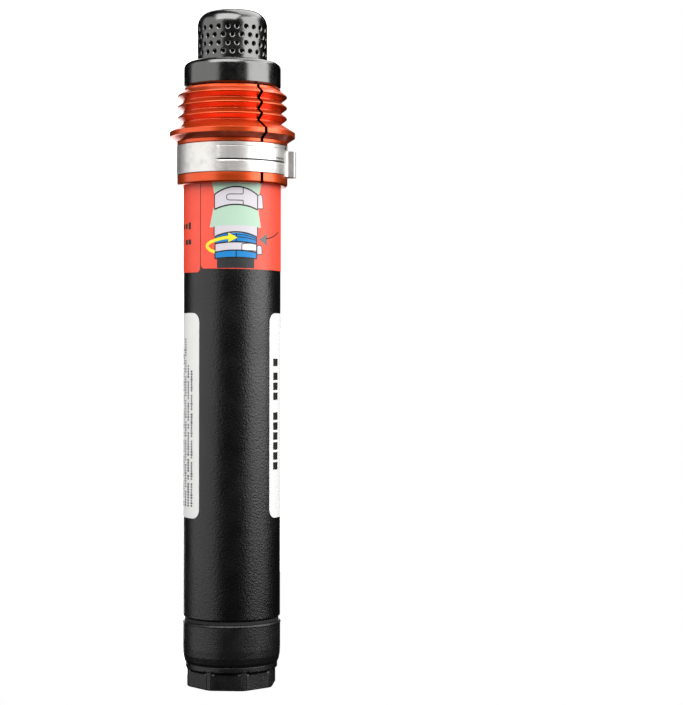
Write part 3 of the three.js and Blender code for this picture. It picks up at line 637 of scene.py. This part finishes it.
# The band's outer face is one radius r(angle, z): the plain band, plus the raised tongue, less the
# lines pressed along the tongue's edges, the slit in the tongue and the two hook windows.
band_angles = np.unique(np.round(np.concatenate([
    np.linspace(0, 2 * np.pi, 241),
    np.radians(np.concatenate([np.arange(342, 350, 0.4), np.arange(51, 54, 0.3),
                               np.arange(68, 83, 0.25)]))]), 6))
band_rows = np.unique(np.round(np.concatenate([
    np.linspace(BAND_LOW + 0.1, BAND_HIGH - 0.1, 40),
    np.arange(TONGUE_LOW - 0.4, TONGUE_LOW + 0.3, 0.04), np.arange(164.8, 166.1, 0.05),
    np.arange(SLIT_LEVEL - 0.3, SLIT_LEVEL + 0.3, 0.05), np.arange(157.7, 158.9, 0.06)]), 4))
a, z = np.meshgrid(np.where(band_angles > np.pi, band_angles - 2 * np.pi, band_angles), band_rows)
a[:, -1] = a[:, 0]
on_tongue = between(a, TONGUE_START, TONGUE_END, 0.1)
face = BAND_OUTER + TONGUE_RISE * on_tongue * between(z, TONGUE_LOW, TONGUE_HIGH, 0.15)
face -= 0.3 * on_tongue * between(z, TONGUE_LOW - 0.4, TONGUE_LOW - 0.04, 0.1)
face -= 0.05 * on_tongue * between(z, TONGUE_HIGH + 0.05, TONGUE_HIGH + 0.2, 0.1)
face -= 0.3 * between(a, SLIT_START, SLIT_END, 0.02) * between(z, SLIT_LEVEL - 0.12,
                                                                SLIT_LEVEL + 0.12, 0.1)
hooks = sum(between(z, low, high, 0.12) for low, high in HOOK_ROWS)
face -= 0.36 * between(a, HOOK_START, HOOK_END, 0.012) * hooks
outer_band = around(face, a, z)
inner_low = around(BAND_INNER, a[:1], BAND_LOW)
band = np.concatenate([inner_low, around(face[:1] - 0.06, a[:1], BAND_LOW), outer_band,
                       around(face[-1:] - 0.06, a[:1], BAND_HIGH),
                       around(BAND_INNER, a[:1], BAND_HIGH), inner_low])

# The ear is a strip 0.6 mm thick whose middle line rises from the band, turns over and comes back.
# Point (k, c) is line_k + across_c * normal_k, at height_c, where c goes round the strip's section.
line = rounded([(-5.2, 16.0, 0), (-EAR_HALF, 16.95, 0.9), (-EAR_HALF, EAR_CROWN, 0.35),
                (EAR_HALF, EAR_CROWN, 0.35), (EAR_HALF, 16.95, 0.9), (5.2, 16.0, 0)], 8)
heading = np.gradient(line, axis=0)
heading /= np.linalg.norm(heading, axis=1)[:, None]
normal = np.column_stack([-heading[:, 1], heading[:, 0]])
section = closed(rounded([(EAR_WALL, EAR_LOW, 0.08), (EAR_WALL, EAR_HIGH, 0.08),
                          (-EAR_WALL, EAR_HIGH, 0.08), (-EAR_WALL, EAR_LOW, 0.08)], 3))
strip = line[:, None] + section[None, :, :1] * normal[:, None]
ear_x = strip[..., 0] * np.cos(EAR_ANGLE) + strip[..., 1] * np.sin(EAR_ANGLE)
ear_y = strip[..., 0] * np.sin(EAR_ANGLE) - strip[..., 1] * np.cos(EAR_ANGLE)
ear = np.stack([ear_x, ear_y, np.broadcast_to(section[None, :, 1], ear_x.shape)], -1)
ends = [end.mean(1, keepdims=True).repeat(ear.shape[1], 1) for end in (ear[:1], ear[-1:])]
ear = np.concatenate([ends[0], ear, ends[1]])
clamp = new_piece("stainless_ear_clamp", [band, ear[:, ::-1]], rolled_stainless, 30)
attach(clamp, "sleeve")
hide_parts("ear_clamp")

# ---- Red instruction label ----------------
# Red vinyl film wrapped once round the barrel under the sleeve, its ends meeting at a seam on the
# left. It is screen printed with a simple drawing of how the collar turns, and with bars for text.

LABEL_RADIUS = 15.05
FILM = 0.05
INK = 0.01
INK_SINK = 0.004
RED_LOW = 128.2
RED_DROP = 1.1
RED_HIGH = 154.9
RED_SEAM = math.radians(-39.5)
RED_CORNER = 1.4
FILM_GLOSS = 0.42
print_radius = LABEL_RADIUS + FILM


def slab(top, bottom):
    """A closed thin plate from two grids of the same shape, its outer face and its inner face."""
    return [top, bottom[..., ::-1, :, :],
            np.stack([bottom[..., 0, :, :], top[..., 0, :, :]], -3),
            np.stack([top[..., -1, :, :], bottom[..., -1, :, :]], -3),
            np.stack([bottom[..., :, 0, :], top[..., :, 0, :]], -2),
            np.stack([top[..., :, -1, :], bottom[..., :, -1, :]], -2)]


def film_label(start, sweep, low, high, corner, low_drop=0.0):
    """A rectangular label on the barrel with rounded corners: its lower and upper edges are lifted by
    c - sqrt(c^2 - (c - d)^2) where the distance d to an end is less than the corner c."""
    length = sweep * LABEL_RADIUS
    near = corner * (1 - np.cos(np.linspace(0, np.pi / 2, 9)))
    along = np.concatenate([near, np.linspace(corner, length - corner, 220)[1:-1],
                            length - near[::-1]])
    inset = np.clip(corner - np.minimum(along, length - along), 0, corner)
    lift = corner - np.sqrt(corner ** 2 - inset ** 2)
    angle = start + along / LABEL_RADIUS
    up = np.linspace(0, 1, 9)[:, None]
    bottom = low - low_drop * along / length + lift
    height = bottom + up * (high - lift - bottom)
    return slab(around(print_radius, angle, height), around(LABEL_RADIUS, angle, height))


def film_material(name, code, shade, dullest=0.5):
    """Printed vinyl: a smooth satin plastic, slightly uneven where it lies over the paint's grain."""
    film, spot = new_material(name)
    uneven = add_node(film, "TexNoise", {"Vector": spot, "Scale": 1000 / 4, "Detail": 4.0})
    fine = add_node(film, "TexNoise", {"Vector": spot, "Scale": 1000 / 0.6, "Detail": 2.0})
    sheen = add_node(film, "MapRange", {0: uneven, 1: 0.3, 2: 0.7, 3: FILM_GLOSS, 4: dullest})
    body = add_node(film, "Mix", {0: uneven, 6: colour(code), 7: colour(shade)}, data_type="RGBA")
    ripple = add_node(film, "Bump", {"Height": fine, "Strength": 0.2, "Distance": 0.00001})
    skin = add_node(film, "BsdfPrincipled", {
        "Base Color": body.outputs[2], "Roughness": sheen, "IOR": 1.5, "Normal": ripple})
    add_node(film, "OutputMaterial", {"Surface": skin})
    return film


seam_gap = 0.12 / LABEL_RADIUS
red_label = new_piece("red_instruction_label",
                      film_label(RED_SEAM + seam_gap, 2 * math.pi - 2 * seam_gap, RED_LOW, RED_HIGH,
                                 RED_CORNER, RED_DROP),
                      film_material("red_vinyl_film", "fa563f", "f64e38"), 40)
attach(red_label, "cylinder")
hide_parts("instruction_label")


def printed(shape, layer):
    """Ink on the label: a grid of (distance round, height) points as a thin plate, one of several
    layers that lie over each other like printed colours."""
    angle, height = shape[..., 0] / print_radius, shape[..., 1]
    return slab(around(print_radius + INK * layer, angle, height),
                around(print_radius + INK * (layer - 1) - INK_SINK, angle, height))


def field(low, high, arch_low=0.0, arch_high=0.0, steps=24):
    """A printed area between two edges. low and high are (left, right, height); each edge bows
    upwards by its arch, as arch * (1 - (2u - 1)^2)."""
    u = np.linspace(0, 1, steps + 1)[None]
    v = np.linspace(0, 1, 5)[:, None]
    bow = 1 - (2 * u - 1) ** 2
    left = low[0] + (high[0] - low[0]) * v
    right = low[1] + (high[1] - low[1]) * v
    bottom = low[2] + arch_low * bow
    top = high[2] + arch_high * bow
    return np.stack([left + (right - left) * u, bottom + (top - bottom) * v], -1)


def stroke(path, width):
    """A printed line along a path, cut into steps of 0.3 mm so that it follows the barrel: each point
    moves half the width to either side, square to the path."""
    path = np.array(path, float)
    reach = np.append(0, np.cumsum(np.linalg.norm(np.diff(path, axis=0), axis=1)))
    even = np.linspace(0, reach[-1], 2 + int(reach[-1] / 0.3))
    path = np.column_stack([np.interp(even, reach, path[:, 0]), np.interp(even, reach, path[:, 1])])
    heading = np.gradient(path, axis=0)
    heading /= np.linalg.norm(heading, axis=1)[:, None]
    aside = np.column_stack([heading[:, 1], -heading[:, 0]]) * width / 2
    return np.stack([path - aside, path + aside], 1)[:, ::-1]


def outline_of(area, width, sides):
    """Printed lines along the chosen edges of an area: bottom, top, left and right."""
    edges = {"b": area[0], "t": area[-1], "l": area[:, 0], "r": area[:, -1]}
    return [stroke(edges[side], width) for side in sides]


# The drawing is laid out flat, as distance round from the front line and height, both in mm, and is
# moved as a whole to where it was printed.
DRAWING_ASIDE = -0.35
DRAWING_UP = 0.33
hose = field((-4.9, 8.7, 149.2), (-6.0, 9.9, 154.0))
hose_end = field((-6.7, 9.6, 140.3), (-5.4, 8.6, 146.2), 0.2, 1.3)
top_clamp = field((-5.1, 8.4, 145.7), (-5.1, 8.4, 150.2), 1.5, 2.4)
top_lug = field((8.4, 10.5, 146.1), (8.5, 10.2, 149.9), 0.0, 0.5)
tube_end = field((-5.2, 8.4, 137.7), (-5.2, 8.4, 140.5), 0.9, 0.4)
rings = field((-4.9, 8.1, 135.3), (-4.9, 8.1, 137.5), 0.6, 1.4)
low_clamp = field((-4.9, 8.1, 132.8), (-4.9, 8.1, 135.1), 0.7, 0.8)
low_tongue = field((3.3, 8.0, 133.2), (3.3, 8.0, 135.2), 0.1, 0.3)
low_lug = field((8.2, 10.1, 132.2), (8.2, 9.9, 134.6), 0.0, 0.4)
collar = field((-4.9, 8.1, 130.8), (-5.0, 8.2, 132.7), 0.4, 0.7)
drawn_tube = field((-4.3, 7.3, 127.95), (-4.3, 7.3, 131.1), 0.0, 0.3)

# The tongue's outline runs from the clamp's top edge round the tongue's rounded end to its foot.
turn_back = np.radians(np.linspace(90, 270, 12))
tongue_line = np.vstack([[(3.7, 152.4), (3.7, 151.4), (3.7, 150.4), (2.5, 150.35), (1.0, 150.35)],
                         np.column_stack([-0.5 + 0.9 * np.cos(turn_back),
                                          149.42 + 0.92 * np.sin(turn_back)]),
                         [(1.0, 148.5), (2.5, 148.5), (3.7, 148.45), (3.7, 147.8), (3.7, 147.1)]])

# The arrow is a ribbon that comes from the collar's left side, turns over and ends in a point.
arrow_line = np.column_stack([
    np.concatenate([np.linspace(-5.0, -6.7, 6), -6.7 - 0.9 * np.sin(np.radians(
        np.linspace(15, 165, 14))), np.linspace(-6.2, -0.5, 16)]),
    np.concatenate([np.linspace(132.8, 133.5, 6), np.linspace(133.8, 135.5, 14),
                    135.8 + 1.4 * np.sin(np.radians(np.linspace(5, 88, 16)))])])
arrow_head = field((-0.8, 2.0, 137.2), (-0.8, 2.0, 137.2))
pointer = field((8.8, 12.1, 136.8), (8.8, 12.1, 136.8))
for wedge, wide_left, wide_right in ((arrow_head, 1.45, 0.0), (pointer, 0.0, 1.9)):
    taper = np.linspace(wide_left, wide_right, wedge.shape[1])[None]
    wedge[..., 1] += taper * np.linspace(-1, 1, 5)[:, None]
pointer_tail = np.column_stack([np.linspace(11.6, 18.5, 14),
                                137.1 + 2.4 * np.linspace(0, 1, 14) ** 1.6])

inks = {
    "pale_green_ink": ("b6d4bd", 1, [hose, hose_end]),
    "lilac_ink": ("d5cfd6", 2, [top_clamp, top_lug, tube_end, low_clamp, low_lug]),
    "blue_ink": ("1484cb", 1, [rings, collar]),
    "charcoal_ink": ("2b2b2d", 1, [drawn_tube]),
    "white_ink": ("e8e6e7", 3, [low_tongue]),
    "yellow_ink": ("fbe52e", 5, [stroke(arrow_line, 0.98), arrow_head]),
    "grey_ink": ("6d6c6a", 2, [pointer]),
}
edges_drawn = ((top_clamp, 0.42, "bt"), (top_clamp, 0.3, "lr"), (top_lug, 0.24, "btlr"),
               (tube_end, 0.3, "lr"), (rings, 0.42, "bt"), (rings, 0.3, "lr"),
               (low_clamp, 0.3, "lr"), (low_tongue, 0.22, "btlr"), (low_lug, 0.24, "btlr"),
               (collar, 0.36, "btlr"))
lines = [line for area, width, sides in edges_drawn for line in outline_of(area, width, sides)]
lines += [stroke(path, width) for path, width in (
    (tongue_line, 0.24), (rings[2], 0.22), (rings[3], 0.16), ([(1.6, 131.2), (1.6, 133.3)], 0.3),
    ([(1.6, 135.8), (1.6, 138.5)], 0.3), (pointer_tail, 0.36))]
inks["black_ink"] = ("1b1b1c", 4, lines)
for ink, (code, layer, shapes) in inks.items():
    plates = [plate for shape in shapes
              for plate in printed(shape + (DRAWING_ASIDE, DRAWING_UP), layer)]
    ink_piece = new_piece("label_" + ink, plates, film_material(ink, code, code), 60)
    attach(ink_piece, "cylinder")

# ---- Data label ---------------------------
# White vinyl film wrapped round the back of the barrel, open at the front, with its lines of text
# running up the cylinder. The text is left as plain blocks, and no mark or word is printed.

DATA_LOW = 52.1
DATA_HIGH = 114.8
DATA_START = math.radians(49.4)
DATA_SWEEP = math.radians(269.2)
DATA_CORNER = 2.8
LINE_PITCH = 1.96
SMALL_TEXT = 1.0
LETTER = 0.62
LETTER_STEP = 0.82
TEXT_LOW = 55.5
FIRST_LINE = math.radians(-54.5)

data_label = new_piece("white_data_label",
                       film_label(DATA_START, DATA_SWEEP, DATA_LOW, DATA_HIGH, DATA_CORNER),
                       film_material("white_vinyl_film", "efefed", "eaeae8", 0.52), 40)
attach(data_label, "cylinder")
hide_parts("data_label")


def blocks(place_along, place_round, length, width, upright=True):
    """Small printed rectangles at given places: half a length and half a width to either side, in
    steps round the barrel so that they follow its curve. Upright ones run up the barrel."""
    ends = np.array([-0.5, 0.5])
    steps = np.linspace(-0.5, 0.5, 7)
    if not upright:
        place_along, place_round, length, width = place_round, place_along, width, length
    height = place_along[:, None, None] + length[:, None, None] * ends[None, :, None]
    distance = place_round[:, None, None] + width[:, None, None] * steps[None, None, :]
    return np.stack(np.broadcast_arrays(distance, height), -1)


random = np.random.default_rng(7)


def text_line(start, end, size, step, letter):
    """Letter blocks from start to end in words of 2 to 9 letters: their places, lengths, heights."""
    words = random.integers(2, 10, 60)
    letters = np.concatenate([np.append(np.ones(count, bool), False) for count in words])
    spots = start + step * (np.arange(len(letters)) + 0.5)
    spots = spots[letters & (spots < end)]
    lengths = letter * random.uniform(0.75, 1.1, len(spots))
    heights = size * random.choice([0.72, 0.72, 1.0], len(spots))
    return spots, lengths, heights


text_shapes = []
for number in range(21):
    around_at = FIRST_LINE * print_radius - number * LINE_PITCH
    top_at = [97.4, 99.2, 107.5][number] if number < 3 else random.uniform(96, 111)
    if number in (5, 11, 16):
        top_at = random.uniform(66, 80)
    spots, lengths, heights = text_line(TEXT_LOW, top_at, SMALL_TEXT, LETTER_STEP, LETTER)
    text_shapes.append(blocks(spots, np.full(len(spots), around_at), lengths, heights))
title_at = math.radians(62.3) * print_radius
title_spots = 68.0 + 3.05 * np.array([0, 1, 2, 3, 4, 5, 7, 8, 9, 10.4])
text_shapes.append(blocks(title_spots, np.full(10, title_at), np.full(10, 2.3), np.full(10, 3.0)))
red_text = []
for height_at, size in ((141.4, 2.1), (136.5, 2.1)):
    spots, lengths, heights = text_line(-46.0, -14.3, size, 2.1, 1.6)
    red_text.append(blocks(spots[::-1], np.full(len(spots), height_at), lengths, heights, False))
plates = [plate for shape in text_shapes + red_text for plate in printed(shape, 1)]
text = new_piece("label_text_blocks", plates,
                 film_material("text_ink", "1c1c1d", "1c1c1d"), 60)
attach(text, "cylinder")

# ---- Cap seal -----------------------------
# A flat ring cut from nitrile rubber sheet, nipped between the cap and the foot of the cylinder.
# It keeps water out of the thread, and comes down with the cap without turning.

SEAL_BORE = 13.2
SEAL_RADIUS = 14.5
SEAL_LOW = 20.05
SEAL_HIGH = 21.05

seal_outline = rounded([(SEAL_BORE, SEAL_LOW, 0.1), (SEAL_RADIUS, SEAL_LOW, 0.15),
                        (SEAL_RADIUS, SEAL_HIGH, 0.15), (SEAL_BORE, SEAL_HIGH, 0.1)])
seal = new_piece("rubber_cap_seal", [turned(closed(seal_outline))], nitrile_rubber)
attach(seal, "cap_seal")
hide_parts("cap_seal")

# ---- Screw cap ----------------------------
# Moulded in black glass-filled nylon: round above, with a collar and an eight-sided foot for a
# wrench below. The flats run out into the collar in hollow curves, with a small nick at each corner.

CAP_TOP = 20.0
CAP_RADIUS = 15.05
LIP_RADIUS = 15.18
LIP_LOW = 19.3
LIP_CHAMFER = 0.42
COLLAR_RADIUS = 14.15
PILLAR_RADIUS = 14.0
FLAT_RADIUS = 13.2
FLAT_TOP = 5.6
RUN_OUT = 0.9
FOOT_TURN = math.radians(15.4)
HALF_SIDE = math.radians(22.5)
CAP_FLOOR = 3.1
CAP_WELL = 10.5
CAP_WELL_TOP = 8.5
CAP_BORE = 13.2

# Glass-filled nylon: a dull black plastic with a fine mould texture, 0.15 mm in life and drawn at
# 0.5 mm, and slightly lighter, duller patches about 5 mm wide.
glass_nylon, place = new_material("black_glass_filled_nylon")
texture = add_node(glass_nylon, "TexNoise", {"Vector": place, "Scale": 1000 / 0.5, "Detail": 3.0})
patches = add_node(glass_nylon, "TexNoise", {
    "Vector": place, "Scale": 1000 / 5, "Detail": 5.0, "Roughness": 0.6})
gloss = add_node(glass_nylon, "MapRange", {0: patches, 1: 0.3, 2: 0.7, 3: 0.3, 4: 0.42})
tone = add_node(glass_nylon, "Mix", {
    0: patches, 6: colour("0b0b0b"), 7: colour("121111")}, data_type="RGBA")
bump = add_node(glass_nylon, "Bump", {"Height": texture, "Strength": 0.8, "Distance": 0.0001})
shader = add_node(glass_nylon, "BsdfPrincipled", {
    "Base Color": tone.outputs[2], "Roughness": gloss, "IOR": 1.55, "Normal": bump})
add_node(glass_nylon, "OutputMaterial", {"Surface": shader})

# The side is one radius r(angle, z): the smaller of the round body and the flat's distance over the
# cosine of the angle from the flat's middle, blended where they meet, less the corner nicks.
sector = np.unique(np.concatenate([np.linspace(-22.5, -17, 14), np.linspace(-17, 17, 24),
                                   np.linspace(17, 22.5, 14)]))
offset = np.radians(sector[:-1])
middles = FOOT_TURN + HALF_SIDE * (1 + 2 * np.arange(8))
cap_angles = (middles[:, None] + offset[None]).ravel()
from_middle = np.tile(offset, 8)
cap_angles = np.append(cap_angles, cap_angles[0] + 2 * np.pi)
from_middle = np.append(from_middle, from_middle[0])
side_outline = rounded([(PILLAR_RADIUS, 0.4, 0), (PILLAR_RADIUS, FLAT_TOP - 0.05, 0.1),
                        (COLLAR_RADIUS, FLAT_TOP + 0.1, 0.1), (COLLAR_RADIUS, 7.0, 0.1),
                        (COLLAR_RADIUS - 0.12, 7.12, 0.03), (COLLAR_RADIUS + 0.12, 7.3, 0.1),
                        (14.62, 8.1, 0.6), (14.95, 9.8, 2.0), (CAP_RADIUS, 12.0, 2.0),
                        (CAP_RADIUS, LIP_LOW - 0.05, 0.05), (LIP_RADIUS, LIP_LOW + 0.1, 0.06),
                        (LIP_RADIUS, CAP_TOP - LIP_CHAMFER, 0.06),
                        (LIP_RADIUS - LIP_CHAMFER, CAP_TOP, 0)])
rows = np.unique(np.round(np.concatenate([side_outline[:, 1], np.linspace(0.4, 4.4, 6),
                                          np.arange(4.4, 7.0, 0.08)]), 3))
body_radius = np.interp(rows, side_outline[:, 1], side_outline[:, 0])[:, None]
climb = np.clip((rows - (FLAT_TOP - RUN_OUT)) / RUN_OUT, 0, 1)[:, None]
hollow = FLAT_RADIUS + (COLLAR_RADIUS + 0.3 - FLAT_RADIUS) * (1 - np.sqrt(1 - climb ** 2))
hollow = hollow + 5 * np.clip(rows - FLAT_TOP, 0, 1)[:, None]
flat_side = hollow / np.cos(from_middle)[None]
nearer = np.clip(0.5 + 0.5 * (flat_side - body_radius) / 0.12, 0, 1)
cap_side = flat_side * (1 - nearer) + body_radius * nearer - 0.12 * nearer * (1 - nearer)
from_corner = (HALF_SIDE - np.abs(from_middle)) * PILLAR_RADIUS
nick = np.exp(-((from_corner[None] - 1.35) / 0.32) ** 2 - ((rows[:, None] - 5.25) / 0.35) ** 2)
crease = np.exp(-((from_corner - 0.85) / 0.13) ** 2)[None] * (rows[:, None] < 5.0)
cap_side = cap_side - 0.6 * nick - 0.2 * crease
cap_wall = around(cap_side, cap_angles[None], rows[:, None])
foot_rings = np.array([0.0, 0.5, 0.9])[:, None] * (cap_side[:1] - 0.4)
under_side = around(np.vstack([foot_rings, cap_side[:1] - 0.38, cap_side[:1] - 0.3]),
                    cap_angles[None], np.array([0, 0, 0, 0, 0.04])[:, None])
chamfer = np.concatenate([under_side[-1:], cap_wall[:1]])
cap_inside = turned(np.array([(LIP_RADIUS - LIP_CHAMFER, CAP_TOP), (CAP_BORE + 0.3, CAP_TOP),
                              (CAP_BORE, CAP_TOP - 0.3), (CAP_BORE, CAP_WELL_TOP),
                              (CAP_WELL, CAP_WELL_TOP), (CAP_WELL, CAP_FLOOR),
                              (0, CAP_FLOOR)]), cap_angles)
cap = new_piece("black_screw_cap", [under_side, chamfer, cap_wall, cap_inside], glass_nylon, 30)
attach(cap, "cap")
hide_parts("end_cap")

# ---- Studio -------------------------------
# A white card starts behind the object, so that the cap has room to come down, and rises at the
# back. Two soft boxes stand at the sides with a dark gap between them, and two hang overhead: the
# front one fills the labels without showing in the upright walls. None of it is part of the object.

sweep_line = rounded([(0.02, -0.0005, 0), (0.85, -0.0005, 0.3), (0.85, 1.2, 0)], 16)
widening = np.clip(sweep_line[:, :1] / 0.6, 0, 1)
across = np.hstack([-0.01 - 0.25 * widening, 0 * widening, 0.01 + 0.026 * widening])
card_points = np.stack(np.broadcast_arrays(across, sweep_line[:, :1], sweep_line[:, 1:]), -1)
white_card = new_material("white_card")[0]
shader = add_node(white_card, "BsdfPrincipled", {
    "Base Color": colour("f4f4f4"), "Roughness": 0.9, "Emission Color": colour("ffffff"),
    "Emission Strength": 1.0})
add_node(white_card, "OutputMaterial", {"Surface": shader})
sweep = new_piece("studio_sweep", [card_points * 1000], white_card, 60)


def soft_box(name, position, aim, width, height, brightness):
    """An evenly lit rectangle that faces a point. Its power is brightness * pi * area."""
    light = bpy.data.lights.new(name, "AREA")
    light.shape = "RECTANGLE"
    light.size, light.size_y = width, height
    light.energy = brightness * math.pi * width * height
    box = bpy.data.objects.new(name, light)
    box.location = position
    box.rotation_euler = (Vector(aim) - Vector(position)).to_track_quat("-Z", "Y").to_euler()
    bpy.context.scene.collection.objects.link(box)


soft_box("left_box", (-0.8, -0.25, 0.3), (0, 0, 0.12), 1.4, 1.05, 1.25)
soft_box("right_box", (0.73, -0.325, 0.45), (0, 0, 0.12), 0.95, 0.92, 4.0)
soft_box("top_box", (0.38, 0.3, 1.0), (0, 0, 0.1), 0.9, 0.9, 3.3)
soft_box("front_box", (-0.25, -0.62, 1.02), (0, 0, 0.12), 1.3, 0.9, 4.8)

world = bpy.data.worlds.new("studio_air")
world.use_nodes = True
world.node_tree.nodes.clear()
bpy.context.scene.world = world
seen = add_node(world, "LightPath")
bright = add_node(world, "Background", {"Color": (1, 1, 1, 1), "Strength": 1.0})
dim = add_node(world, "Background", {"Color": (1, 1, 1, 1), "Strength": 0.004})
blend = add_node(world, "MixShader", {0: seen.outputs["Is Camera Ray"], 1: dim, 2: bright})
add_node(world, "OutputWorld", {"Surface": blend})

# ---- Camera -------------------------------
# A long lens at half the object's height, looking level. It is turned a little to the right, so the
# object stands left of the middle.

camera_data = bpy.data.cameras.new("camera")
camera_data.lens = 93.96
camera_data.sensor_width = 36
camera_data.sensor_fit = "AUTO"
camera = bpy.data.objects.new("camera", camera_data)
camera.matrix_world = (Matrix.Translation((0, -0.572, 0.1028))
                       @ Matrix.Rotation(math.radians(-3.406), 4, "Z")
                       @ Matrix.Rotation(math.pi / 2, 4, "X")
                       @ Matrix.Rotation(math.radians(0.083), 4, "Z"))
bpy.context.scene.collection.objects.link(camera)
bpy.context.scene.camera = camera
bpy.context.scene.view_settings.view_transform = "Standard"
